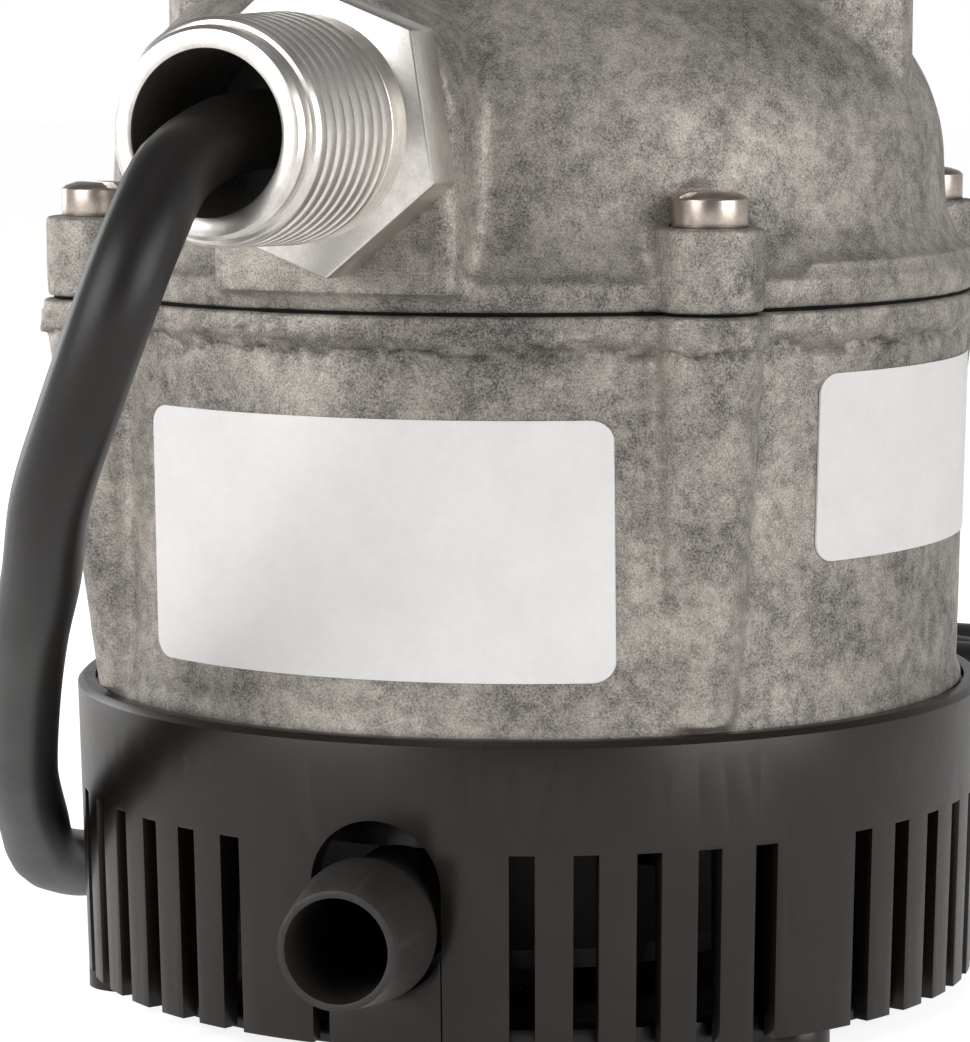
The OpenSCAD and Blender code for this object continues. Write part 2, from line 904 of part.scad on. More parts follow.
module thermal_protector() {
    color([0.2, 0.2, 0.22])
        translate([21.5, 6, turns_top_z])
            difference() {
                cube([7, 12.5, 4]);
                translate([1, 4.6, 3.1])
                    cube([5, 3.1, 1.5]);
            }
}

ground_head_t = 1.2;
splice_at = [9.2, -27.7];
splice_top_z = 86.9;

// One of the two supply wires, from the cord seal to its splice
function lead_path(side) = [
    [side * wire_pitch, -wire_start_y, entry_z], [side * wire_pitch, -38, entry_z],
    [side * 3.2, -35, 92], [side * 4.4, -31.8, 91.7], [side * 6.6, -29.4, 90.9],
    [side * 8.4, -28.1, 89.9], [side * splice_at[0], splice_at[1], 88.5],
    [side * splice_at[0], splice_at[1], splice_top_z]
];
ground_path = [
    [0, -wire_start_y, entry_z], [0, -38, entry_z], [0.4, -34, 92.8], [2.5, -30, 94.3],
    [7.7, -26.2, 95], [14.6, -22.3, 93.9], [20.8, -17.5, 92], [25.5, -11.8, 90], [28.6, -6, 88.3],
    [30.8, -2, 87.3], [33, 0, ground_z], [ground_boss_x - ground_head_t, 0, ground_z]
];

module lead_wires() {
    color([0.12, 0.12, 0.13])
        for (side = [-1, 1])
            swept_tube(lead_path(side), wire_r, 8);
}

module ground_wire() {
    color([0.1, 0.5, 0.2])
        swept_tube(ground_path, wire_r, 8);
}

module wire_splices() {
    color([0.85, 0.8, 0.6])
        for (side = [-1, 1])
            translate([side * splice_at[0], splice_at[1], 0])
                disc(2.2, turns_top_z, splice_top_z);
}

module ground_screw() {
    color([0.2, 0.6, 0.3])
        translate([ground_boss_x - ground_head_t, 0, ground_z])
            rotate([0, 90, 0]) {
                cylinder(h = ground_head_t, r = 2.6);
                cylinder(h = 6, r = ground_screw_r);
            }
}

module upper_bearing() {
    color([0.75, 0.6, 0.35])
        ring(upper_bearing_r, shaft_tip_r + running_gap, upper_hub_z, upper_hub_z + upper_bearing_l);
}

module lower_bearing() {
    color([0.75, 0.6, 0.35])
        difference() {
            union() {
                disc(lower_bearing_r, lower_bearing_z, lower_hub_z + 0.1);
                disc(8.5, lower_hub_z, lower_hub_z + bearing_flange_t);
            }
            disc(shaft_r + running_gap, lower_bearing_z - 1, lower_hub_z + 3);
        }
}

cup_wall = 1.2;
cup_roof = 0.8;

module seal_cup() {
    color([0.12, 0.12, 0.12])
        difference() {
            disc(seal_pocket_r, seat_z, seal_pocket_z);
            disc(seal_pocket_r - cup_wall, seat_z - 1, seal_pocket_z - cup_roof);
            disc(shaft_r + 0.9, seat_z, seal_pocket_z + 1);
        }
}

module seal_seat() {
    color([0.88, 0.86, 0.8])
        ring(seal_pocket_r - cup_wall, shaft_r + 0.9, seat_z, seal_pocket_z - cup_roof);
}

module shaft() {
    color([0.75, 0.75, 0.77]) {
        disc(shaft_r, impeller_z, shaft_step_z);
        disc(shaft_tip_r, shaft_foot_z, impeller_z + 0.1);
        disc(shaft_tip_r, shaft_step_z - 0.1, shaft_top_z);
    }
}

module rotor_core() {
    color([0.4, 0.4, 0.42])
        ring(stator_bore_r - air_gap, shaft_r + fit_gap, stator_z, stator_z + stator_h);
}

module rotor_end_rings() {
    color([0.7, 0.7, 0.72]) {
        ring(18.1, 11.6, stator_z - 1.85, stator_z);
        ring(18.1, 11.6, stator_z + stator_h, stator_z + stator_h + 1.85);
    }
}

module thrust_washer() {
    color([0.5, 0.5, 0.5])
        ring(7.3, shaft_r + fit_gap, lower_hub_z + bearing_flange_t + 0.1, stator_z);
}

module seal_head() {
    color([0.15, 0.15, 0.16])
        difference() {
            union() {
                disc(6.6, seal_head_z + 1, seat_z - seal_gap);
                disc(7.3, seal_head_z, seal_head_z + 1.7);
            }
            disc(shaft_r + fit_gap, seal_head_z - 1, seat_z + 1);
        }
}

// Spring wire of 8 sides; its flats touch the impeller and the seal head
spring_turns = 2.5;
spring_steps = 16;
spring_r = 5.9;
spring_wire_r = 0.4;
spring_low_z = impeller_top_z + 0.37;
spring_rise = seal_head_z - impeller_top_z - 0.74;
spring_path = [
    for (k = [0:spring_turns * spring_steps])
        [
            spring_r * cos(k * 360 / spring_steps), spring_r * sin(k * 360 / spring_steps),
            spring_low_z + k * spring_rise / (spring_turns * spring_steps)
        ]
];

module seal_spring() {
    color([0.8, 0.8, 0.82])
        level_tube(spring_path, spring_wire_r, 8);
}

vane_count = 6;
vane_steps = 6;
vane_root_r = 5.2;
vane_reach = 12;
vane_sweep = 60;
// Half of a vane's thickness times 180 / PI
vane_spread = 46;

// One side of a backward-swept vane, from the hub to the rim
function vane_edge(spread) = [
    for (i = [0:vane_steps])
        let (
            r = vane_root_r + vane_reach * i / vane_steps,
            a = vane_sweep * i / vane_steps + spread / r
        )
        [r * sin(a), -r * cos(a)]
];

module impeller() {
    color([0.25, 0.25, 0.27])
        difference() {
            union() {
                disc(impeller_r, impeller_z + vane_h, impeller_top_z);
                disc(6.2, impeller_z, impeller_z + vane_h + 0.1);
                for (k = [0:vane_count - 1])
                    at_az(k * 360 / vane_count, 0)
                        translate([0, 0, impeller_z])
                            linear_extrude(vane_h + 0.1)
                                polygon(concat(
                                    vane_edge(-vane_spread),
                                    [for (i = [vane_steps:-1:0]) vane_edge(vane_spread)[i]]
                                ));
            }
            disc(shaft_r + fit_gap, impeller_z - 1, impeller_top_z + 1);
        }
}

module impeller_nut() {
    nut_h = 2.7;
    color([0.75, 0.65, 0.4])
        difference() {
            translate([0, 0, impeller_z - nut_h])
                cylinder(h = nut_h, r = 5.4, $fn = 6);
            disc(shaft_tip_r + fit_gap, impeller_z - nut_h - 1, impeller_z + 1);
        }
}

/* Cord, coil and plug */

coil_turns = coil_turns_low + coil_climb + coil_turns_top;
coil_steps = coil_turns * loop_rings;
coil_turn_back = coil_turns_low + coil_climb / 2;

function coil_radius(t) =
    coil_start_r - coil_pitch * (t < coil_turn_back ? t : 2 * coil_turn_back - t);

function coil_height(t) =
    coil_low_z + coil_layer * min(1, max(0, (t - coil_turns_low) / coil_climb));

function coil_point(t) = [
    coil_at[0] + coil_radius(t) * cos(180 - 360 * t),
    coil_at[1] + coil_radius(t) * sin(180 - 360 * t),
    coil_height(t)
];

coil_first = coil_point(0);
coil_last = coil_point(coil_turns);
coil_path = concat(
    [coil_first - [0, cord_d, 0]],
    [for (k = [0:coil_steps]) coil_point(k / loop_rings)],
    [coil_last + [cord_d, 0, 0]]
);

// Least distance between the surfaces of different loops, measured on the path's points
coil_gap = min([
    for (i = [0:len(coil_path) - 1], j = [i + 1:len(coil_path) - 1])
        if (j - i > loop_rings / 2) norm(coil_path[i] - coil_path[j])
]) - cord_d;

function path_length(path) =
    [for (i = [1:len(path) - 1]) norm(path[i] - path[i - 1])] * [for (i = [1:len(path) - 1]) 1];

echo(coil_gap = coil_gap);
echo(coil_first = coil_first, coil_last = coil_last);
echo(cord_length = path_length(cord_route) + path_length(coil_path) + path_length(tail_route));

module power_cord() {
    color([0.13, 0.13, 0.13])
        swept_tube(cord_route, cord_r, cord_sides);
}

module cord_coil() {
    color([0.13, 0.13, 0.13])
        level_tube(coil_path, cord_r, coil_sides);
}

module cord_tail() {
    color([0.13, 0.13, 0.13])
        level_tube(tail_route, cord_r, cord_sides);
}

plug_l = 48;
blade_l = 16.5;

module plug_body() {
    color([0.12, 0.12, 0.12])
        translate(plug_at)
            rotate([0, -90, 0]) {
                cylinder(h = 18, r1 = 4.6, r2 = 7.4);
                translate([0, 0, 18])
                    cylinder(h = 8, r1 = 7.4, r2 = 11.4);
                translate([0, 0, 26])
                    intersection() {
                        cylinder(h = plug_l - 26, r = 14.5);
                        translate([-12, -14, 0])
                            cube([24, 28, plug_l - 26]);
                    }
            }
}

module plug_blades() {
    color([0.8, 0.7, 0.4])
        translate(plug_at + [-plug_l - blade_l, 0, -2.5])
            for (side = [-1, 1])
                translate([0, side * 6.35 - 0.75, -3.15])
                    cube([blade_l, 1.5, 6.3]);
}

module ground_pin() {
    color([0.8, 0.7, 0.4])
        translate(plug_at + [-plug_l, 0, 7.4])
            rotate([0, -90, 0]) {
                cylinder(h = 18, r = 2.38);
                translate([0, 0, 18])
                    cylinder(h = 2, r1 = 2.38, r2 = 1.4);
            }
}

top_cover();
cover_gasket();
motor_housing();
cover_screws();
conduit_adapter();
cord_seal();
front_label();
side_label();
strainer_ring();
base_plate();
base_screws();
volute_casing();
intake_cover();
intake_screws();
pump_screws();
hub_o_ring();
stator_core();
stator_windings();
thermal_protector();
lead_wires();
ground_wire();
wire_splices();
ground_screw();
upper_bearing();
lower_bearing();
seal_cup();
seal_seat();
shaft();
rotor_core();
rotor_end_rings();
thrust_washer();
seal_head();
seal_spring();
impeller();
impeller_nut();
power_cord();
cord_coil();
cord_tail();
plug_body();
plug_blades();
ground_pin();
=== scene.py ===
"""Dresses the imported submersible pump: castings, plastic base, threaded adapter, cord and plug."""

import json
import logging
import math
from dataclasses import dataclass, field
from enum import Enum

import bmesh
import bpy
import numpy as np
from mathutils import Matrix, Vector, noise


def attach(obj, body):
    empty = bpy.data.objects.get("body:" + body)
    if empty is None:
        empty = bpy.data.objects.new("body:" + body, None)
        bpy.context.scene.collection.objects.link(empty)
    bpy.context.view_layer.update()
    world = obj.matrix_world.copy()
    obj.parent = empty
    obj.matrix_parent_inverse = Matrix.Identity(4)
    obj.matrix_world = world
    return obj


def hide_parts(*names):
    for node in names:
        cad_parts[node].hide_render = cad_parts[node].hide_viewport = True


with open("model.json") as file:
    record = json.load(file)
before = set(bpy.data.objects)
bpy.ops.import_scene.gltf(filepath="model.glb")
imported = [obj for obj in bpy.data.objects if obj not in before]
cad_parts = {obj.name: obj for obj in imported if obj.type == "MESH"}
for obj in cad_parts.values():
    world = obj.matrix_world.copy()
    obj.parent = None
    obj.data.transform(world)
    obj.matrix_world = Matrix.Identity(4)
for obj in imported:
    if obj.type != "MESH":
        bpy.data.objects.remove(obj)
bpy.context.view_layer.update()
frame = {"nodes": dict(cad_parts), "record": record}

log = logging.getLogger("pump")

MM = 0.001
PUMP_BODY = "pump_body"
X_AXIS, Y_AXIS, Z_AXIS = Vector((1, 0, 0)), Vector((0, 1, 0)), Vector((0, 0, 1))
WHITE = (1.0, 1.0, 1.0, 1.0)


def linear(code: str) -> tuple[float, float, float, float]:
    """Turns an sRGB hex colour to linear.

    Args:
        code: six hex digits after a hash sign.

    Returns:
        The linear red, green, blue and an alpha of 1.
    """
    parts = [int(code[i : i + 2], 16) / 255 for i in (1, 3, 5)]
    bent = [c / 12.92 if c <= 0.04045 else ((c + 0.055) / 1.055) ** 2.4 for c in parts]
    return (*bent, 1.0)


def at_azimuth(angle: float, radius: float, height: float) -> Vector:
    """A point at an angle from straight ahead (-Y) towards +X.

    Args:
        angle: azimuth in degrees.
        radius: distance from the motor axis in millimetres.
        height: height above the floor in millimetres.

    Returns:
        The point in metres.
    """
    a = math.radians(angle)
    return Vector((radius * math.sin(a), -radius * math.cos(a), height)) * MM


# ---------------------------------------------------------------- finishes


def add_node(tree: bpy.types.NodeTree, kind: str, settings: dict, sockets: dict) -> bpy.types.Node:
    """Adds a node, sets its properties, and fills or links its inputs.

    Args:
        tree: the node tree.
        kind: the node's type name.
        settings: properties by name.
        sockets: values or output sockets, by input name or number.

    Returns:
        The new node.
    """
    node = tree.nodes.new(kind)
    for name, value in settings.items():
        setattr(node, name, value)
    for name, value in sockets.items():
        if isinstance(value, bpy.types.NodeSocket):
            tree.links.new(value, node.inputs[name])
        else:
            node.inputs[name].default_value = value
    return node


def fresh_tree(owner: bpy.types.Material | bpy.types.World) -> bpy.types.NodeTree:
    """Empties a material's or a world's node tree.

    Args:
        owner: what the tree belongs to.

    Returns:
        The empty tree.
    """
    owner.use_nodes = True
    owner.node_tree.nodes.clear()
    return owner.node_tree


def add_math(
    tree: bpy.types.NodeTree, operation: str, *inputs: bpy.types.NodeSocket | float
) -> bpy.types.NodeSocket:
    """Adds a math node.

    Args:
        tree: the node tree.
        operation: the node's operation.
        inputs: its inputs in order.

    Returns:
        The result's socket.
    """
    return add_node(tree, "ShaderNodeMath", {"operation": operation}, dict(enumerate(inputs))).outputs[0]


def add_range(
    tree: bpy.types.NodeTree,
    value: bpy.types.NodeSocket,
    known: tuple[float, float],
    wanted: tuple[float, float],
    interpolation: str = "LINEAR",
) -> bpy.types.NodeSocket:
    """Adds a node that maps one clamped range to another.

    Args:
        tree: the node tree.
        value: the value to map.
        known: the range that it has.
        wanted: the range that it gets.
        interpolation: how it runs between the ends.

    Returns:
        The result's socket.
    """
    sockets = dict(enumerate((value, *known, *wanted)))
    return add_node(tree, "ShaderNodeMapRange", {"interpolation_type": interpolation}, sockets).outputs[0]


class Lay(Enum):
    """The way a surface's marks run."""

    GRAIN = "grain"
    ROUND_X = "rings round the X axis"
    ROUND_Y = "rings round the Y axis"
    ROUND_Z = "rings round the Z axis"


STRETCH = {
    Lay.GRAIN: (1.0, 1.0, 1.0),
    Lay.ROUND_X: (1.0, 0.06, 0.06),
    Lay.ROUND_Y: (0.06, 1.0, 0.06),
    Lay.ROUND_Z: (0.06, 0.06, 1.0),
}
NOISE_ROUGHNESS = 0.62
# Painted shade: the near black that stands in for the shade inside the pump, and the width over which it
# fades out.
PAINTED_SHADE_COLOUR = "#080707"
PAINTED_SHADE_FADE_MM = 0.6


@dataclass(frozen=True)
class Marks:
    """One scale of unevenness on a surface.

    size_mm is the width of a mark, tint the share of the colour range that it moves, depth_mm its height.
    A sharp over 1 turns soft clouds into patches with clear edges.
    """

    size_mm: float
    tint: float
    depth_mm: float
    lay: Lay = Lay.GRAIN
    detail: float = 2.0
    sharp: float = 1.0


@dataclass(frozen=True)
class Finish:
    """A surface finish: two colours that the marks blend between, a shine range and its marks.

    Within a given radius of the motor axis the colour is painted almost black: painted shade for the dark
    inside of the pump.
    """

    name: str
    dark: str
    light: str
    metallic: float
    rough_low: float
    rough_high: float
    marks: tuple[Marks, ...]
    ior: float = 1.5
    coat: float = 0.0
    painted_shade_r_mm: float = 0.0

    def material(self) -> bpy.types.Material:
        """Makes the node material, once for each finish.

        Returns:
            The material.
        """
        found = bpy.data.materials.get(self.name)
        if found:
            return found
        made = bpy.data.materials.new(self.name)
        tree = fresh_tree(made)
        place = add_node(tree, "ShaderNodeTexCoord", {}, {}).outputs["Object"]
        tint, normal = self._marks(tree, place)
        colours = {0: tint, 6: linear(self.dark), 7: linear(self.light)}
        mixed = add_node(tree, "ShaderNodeMix", {"data_type": "RGBA", "clamp_factor": True}, colours)
        colour = mixed.outputs[2]
        # Painted shade near the motor axis, for the dark inside of the pump.
        if self.painted_shade_r_mm:
            colour = self._paint_inner_shade(tree, place, colour)
        shader = add_node(
            tree,
            "ShaderNodeBsdfPrincipled",
            {},
            {
                "Base Color": colour,
                "Roughness": add_range(tree, tint, (0.0, 1.0), (self.rough_high, self.rough_low)),
                "Metallic": self.metallic,
                "IOR": self.ior,
                "Coat Weight": self.coat,
                "Normal": normal,
            },
        )
        add_node(tree, "ShaderNodeOutputMaterial", {}, {0: shader.outputs[0]})
        return made

    def _paint_inner_shade(
        self, tree: bpy.types.NodeTree, place: bpy.types.NodeSocket, unshaded: bpy.types.NodeSocket
    ) -> bpy.types.NodeSocket:
        """Paints shade: darkens the colour near the motor axis, for the shade inside the pump.

        Args:
            tree: the node tree.
            place: the Object coordinates.
            unshaded: the colour without the painted shade.

        Returns:
            The colour's socket.
        """
        flat = add_node(tree, "ShaderNodeVectorMath", {"operation": "MULTIPLY"}, {0: place, 1: (1, 1, 0)})
        away = add_node(tree, "ShaderNodeVectorMath", {"operation": "LENGTH"}, {0: flat.outputs[0]})
        edge = self.painted_shade_r_mm * MM
        share = add_range(tree, away.outputs["Value"], (edge - PAINTED_SHADE_FADE_MM * MM, edge), (0.0, 1.0))
        shaded_mix = {0: share, 6: linear(PAINTED_SHADE_COLOUR), 7: unshaded}
        return add_node(tree, "ShaderNodeMix", {"data_type": "RGBA"}, shaded_mix).outputs[2]

    def _marks(
        self, tree: bpy.types.NodeTree, place: bpy.types.NodeSocket
    ) -> tuple[bpy.types.NodeSocket, bpy.types.NodeSocket]:
        """Adds each scale of marks to the colour factor and to a chain of bumps.

        Args:
            tree: the node tree.
            place: the Object coordinates.

        Returns:
            The colour factor's socket and the normal's socket.
        """
        total = add_node(tree, "ShaderNodeValue", {}, {}).outputs[0]
        total.default_value = 0.5
        normal = None
        for marks in self.marks:
            scale = Vector(STRETCH[marks.lay]) / (marks.size_mm * MM)
            mapped = add_node(tree, "ShaderNodeMapping", {}, {0: place, 3: scale})
            clouds = add_node(
                tree,
                "ShaderNodeTexNoise",
                {},
                {
                    "Vector": mapped.outputs[0],
                    "Scale": 1.0,
                    "Detail": marks.detail,
                    "Roughness": NOISE_ROUGHNESS,
                },
            ).outputs[0]
            reach = 0.5 / marks.sharp
            centred = add_range(tree, clouds, (0.5 - reach, 0.5 + reach), (-0.5, 0.5))
            total = add_math(tree, "MULTIPLY_ADD", centred, marks.tint * 2, total)
            if marks.depth_mm:
                sockets = {"Height": clouds, "Distance": marks.depth_mm * MM}
                if normal is not None:
                    sockets["Normal"] = normal
                normal = add_node(tree, "ShaderNodeBump", {}, sockets).outputs[0]
        if normal is None:
            normal = add_node(tree, "ShaderNodeNewGeometry", {}, {}).outputs["Normal"]
        return total, normal


# Die casting with a dull skin: cool grey and warm tan drift into each other under a fine grain
CAST_ALUMINIUM = Finish(
    "die_cast_aluminium",
    "#4c4a49",
    "#bfb8af",
    0.5,
    0.5,
    0.66,
    (
        Marks(20.0, 0.3, 0.0),
        Marks(7.0, 0.14, 0.05, detail=8.0, sharp=5.0),
        Marks(1.6, 0.15, 0.06, detail=6.0, sharp=4.0),
        Marks(0.2, 0.7, 0.03),
    ),
)
# Turned bar, handled and faintly oxidised: pale, half frosted, with fine rings left by the tool
TURNED_ALUMINIUM = Finish(
    "turned_aluminium",
    "#c4beb7",
    "#f8f5f1",
    1.0,
    0.26,
    0.38,
    (Marks(0.25, 0.35, 0.004, Lay.ROUND_Y), Marks(2.2, 0.5, 0.0, detail=5.0), Marks(0.3, 0.3, 0.003)),
)
# Glass-filled plastic from a plain mould: satin black-brown with faint flow marks
MOULDED_PLASTIC = Finish(
    "moulded_black_plastic",
    "#17120f",
    "#251e19",
    0.0,
    0.24,
    0.36,
    (Marks(9.0, 0.5, 0.02), Marks(1.4, 0.25, 0.01, detail=4.0), Marks(0.3, 0.35, 0.006)),
    ior=1.44,
    # Painted shade: within this radius of the motor axis the plastic is painted near black for the dark
    # inside of the pump.
    painted_shade_r_mm=45.3,
)
# Filled plastic off a worn mould: paler and duller, with an edge that catches the light
MATT_PLASTIC = Finish(
    "matt_black_plastic",
    "#1c1917",
    "#2d2926",
    0.0,
    0.4,
    0.55,
    (Marks(4.0, 0.5, 0.03), Marks(0.8, 0.5, 0.02, detail=4.0)),
    # Painted shade: within this radius of the motor axis the plastic is painted near black for the dark
    # inside of the pump.
    painted_shade_r_mm=45.3,
)
# Nickel-plated screws: warm, smooth and bright
TURNED_STAINLESS = Finish(
    "plated_screw_steel",
    "#9c9188",
    "#c8beb4",
    1.0,
    0.26,
    0.36,
    (Marks(0.8, 0.5, 0.003), Marks(0.2, 0.3, 0.002)),
    # Painted shade: screws inside the pump, within this radius of the motor axis, are painted near black
    # because they sit in shade.
    painted_shade_r_mm=39.5,
)
# Extruded rubber jacket: near black and half shiny, with a faint talc bloom
JACKET_RUBBER = Finish(
    "jacket_rubber",
    "#0e0c0b",
    "#1f1c1a",
    0.0,
    0.34,
    0.46,
    (Marks(12.0, 0.5, 0.0), Marks(0.6, 0.3, 0.01)),
    ior=1.45,
)
# Sheet rubber: matt black
SHEET_RUBBER = Finish(
    "sheet_rubber", "#060606", "#0d0c0c", 0.0, 0.8, 0.95, (Marks(0.8, 0.6, 0.01),), ior=1.3
)
# Vinyl film: white, satin, with a faint ripple from the rough casting under it
WHITE_VINYL = Finish(
    "white_vinyl", "#e9e7e6", "#f6f5f4", 0.0, 0.32, 0.42, (Marks(6.0, 0.5, 0.015), Marks(0.8, 0.3, 0.004))
)
# Poured resin, near black and smooth: partly its own colour, partly painted shade for the dark inside of the
# adapter's bore, whose wall gets it too
RESIN_AND_BORE_SHADE = Finish(
    "resin_and_bore_shade", "#050505", "#0c0b0b", 0.0, 0.45, 0.6, (Marks(3.0, 0.6, 0.05),), ior=1.35
)
# Punched sheets: the stack shows as fine layers
STACKED_STEEL = Finish(
    "stacked_steel",
    "#4a4b4e",
    "#83858a",
    0.9,
    0.35,
    0.55,
    (Marks(0.5, 0.9, 0.02, Lay.ROUND_Z), Marks(5.0, 0.3, 0.0)),
)
# Enamelled wire: copper under clear varnish, laid in strands
ENAMELLED_COPPER = Finish(
    "enamelled_copper",
    "#8a3f1c",
    "#c77a43",
    0.9,
    0.25,
    0.4,
    (Marks(0.8, 0.9, 0.12, Lay.ROUND_Z), Marks(4.0, 0.3, 0.0)),
    coat=0.4,
)
# Sintered bearing bronze: dull, porous, oily
SINTERED_BRONZE = Finish(
    "sintered_bronze", "#7d5a2c", "#b98f52", 0.95, 0.35, 0.5, (Marks(0.3, 0.8, 0.01), Marks(3.0, 0.3, 0.0))
)
# Ground shaft steel: bright with grinding rings
GROUND_STEEL = Finish(
    "ground_steel", "#a9abad", "#dcdde0", 1.0, 0.12, 0.25, (Marks(0.15, 0.6, 0.002, Lay.ROUND_Z),)
)
# Die-cast rotor aluminium: pale, slightly frosted
ROTOR_ALUMINIUM = Finish(
    "rotor_aluminium", "#9c9c9e", "#c9c9cc", 1.0, 0.4, 0.55, (Marks(1.2, 0.6, 0.02), Marks(0.3, 0.4, 0.01))
)
# Lapped ceramic: off-white and glossy
LAPPED_CERAMIC = Finish(
    "lapped_ceramic", "#ddd6c6", "#efeade", 0.0, 0.1, 0.2, (Marks(2.0, 0.5, 0.0),), ior=1.7
)
# Lapped carbon: dark grey, graphite sheen
LAPPED_CARBON = Finish(
    "lapped_carbon", "#1c1c1e", "#303033", 0.2, 0.3, 0.4, (Marks(0.5, 0.6, 0.002),)
)
# Drawn spring wire: bright
SPRING_WIRE = Finish(
    "drawn_spring_wire", "#b4b4b6", "#dddddf", 1.0, 0.15, 0.3, (Marks(0.3, 0.6, 0.002),)
)
# Extruded wire insulation, green and black
GREEN_INSULATION = Finish(
    "green_vinyl", "#0f5a26", "#1c7a38", 0.0, 0.28, 0.4, (Marks(2.0, 0.5, 0.004),)
)
BLACK_INSULATION = Finish(
    "black_vinyl", "#0f0f10", "#1f1f20", 0.0, 0.28, 0.4, (Marks(2.0, 0.5, 0.004),)
)
# Natural nylon: milky yellow
NATURAL_NYLON = Finish(
    "natural_nylon", "#cdbf96", "#e4d9b6", 0.0, 0.35, 0.5, (Marks(2.0, 0.5, 0.004),)
)
# Stamped brass: yellow, with drawing streaks
STAMPED_BRASS = Finish(
    "stamped_brass",
    "#a98544",
    "#dcbd78",
    1.0,
    0.18,
    0.32,
    (Marks(0.3, 0.7, 0.003, Lay.ROUND_X), Marks(3.0, 0.3, 0.0)),
)

SLOT_FINISH: dict[str, Finish] = {
    "cast_aluminium": CAST_ALUMINIUM,
    "machined_aluminium": TURNED_ALUMINIUM,
    "black_plastic": MOULDED_PLASTIC,
    "stainless_steel": TURNED_STAINLESS,
    "cord_rubber": JACKET_RUBBER,
    "gasket_rubber": SHEET_RUBBER,
    "label_white": WHITE_VINYL,
    "epoxy": RESIN_AND_BORE_SHADE,
    "lamination_steel": STACKED_STEEL,
    "copper_winding": ENAMELLED_COPPER,
    "bronze": SINTERED_BRONZE,
    "steel_shaft": GROUND_STEEL,
    "cast_rotor_aluminium": ROTOR_ALUMINIUM,
    "ceramic": LAPPED_CERAMIC,
    "carbon": LAPPED_CARBON,
    "spring_wire": SPRING_WIRE,
    "green_insulation": GREEN_INSULATION,
    "black_insulation": BLACK_INSULATION,
    "splice_nylon": NATURAL_NYLON,
    "plated_brass": STAMPED_BRASS,
}


def dress_frame() -> None:
    """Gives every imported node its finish, from the record's material slots."""
    for row in frame["record"]["subparts"]:
        node = frame["nodes"][row["node"]]
        node.data.materials.clear()
        node.data.materials.append(SLOT_FINISH[row["material_slot"]].material())


# ---------------------------------------------------------------- mesh helpers


def link_object(name: str, data: bpy.types.ID) -> bpy.types.Object:
    """Puts data in the scene as an object.

    Args:
        name: the object's name.
        data: its mesh, curve, camera or lamp.

    Returns:
        The new object.
    """
    made = bpy.data.objects.new(name, data)
    bpy.context.scene.collection.objects.link(made)
    return made


def finished_mesh(name: str, shape: bmesh.types.BMesh) -> bpy.types.Mesh:
    """Turns an edited shape to a mesh, and frees the shape.

    Args:
        name: the mesh's name.
        shape: the shape.

    Returns:
        The new mesh.
    """
    mesh = bpy.data.meshes.new(name)
    shape.to_mesh(mesh)
    shape.free()
    return mesh


def link_piece(name: str, mesh: bpy.types.Mesh, slot: str, body: str) -> bpy.types.Object:
    """Puts a finished mesh in the scene as a piece that rides on a body.

    Args:
        name: the piece's name.
        mesh: its mesh, in the row frame.
        slot: the record's material slot.
        body: the body that it rides on.

    Returns:
        The new object.
    """
    piece = link_object(name, mesh)
    mesh.materials.clear()
    mesh.materials.append(SLOT_FINISH[slot].material())
    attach(piece, body)
    log.info("%s: %d faces", name, len(mesh.polygons))
    return piece


def bake_modifiers(piece: bpy.types.Object) -> None:
    """Applies a piece's modifiers to its mesh.

    Args:
        piece: the object, which keeps its materials.
    """
    graph = bpy.context.evaluated_depsgraph_get()
    mesh = bpy.data.meshes.new_from_object(piece.evaluated_get(graph))
    piece.modifiers.clear()
    piece.data = mesh


def smooth_by_angle(mesh: bpy.types.Mesh, degrees: float) -> None:
    """Shades a mesh smooth, with edges sharper than an angle kept crisp.

    Args:
        mesh: the mesh.
        degrees: the angle.
    """
    mesh.shade_smooth()
    mesh.set_sharp_from_angle(angle=math.radians(degrees))


WELD_GAP = 2e-6
FLAT_DEGREES = 0.5


def merged_copy(node: str) -> bpy.types.Mesh:
    """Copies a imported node's mesh with its loose triangles joined.

    Args:
        node: the node's name.

    Returns:
        The new mesh.
    """
    mesh = frame["nodes"][node].data.copy()
    shape = bmesh.new()
    shape.from_mesh(mesh)
    bmesh.ops.remove_doubles(shape, verts=shape.verts, dist=WELD_GAP)
    shape.to_mesh(mesh)
    shape.free()
    return mesh


def read_points(mesh: bpy.types.Mesh) -> tuple[np.ndarray, np.ndarray]:
    """Reads a mesh's points and their normals.

    Args:
        mesh: the mesh.

    Returns:
        Points and normals, one row for each vertex.
    """
    count = len(mesh.vertices)
    points, normals = np.empty(count * 3), np.empty(count * 3)
    mesh.vertices.foreach_get("co", points)
    mesh.vertex_normals.foreach_get("vector", normals)
    return points.reshape(-1, 3), normals.reshape(-1, 3)


def write_points(mesh: bpy.types.Mesh, points: np.ndarray) -> None:
    """Moves a mesh's points.

    Args:
        mesh: the mesh.
        points: the new points, one row for each vertex.
    """
    mesh.vertices.foreach_set("co", points.ravel())
    mesh.update()


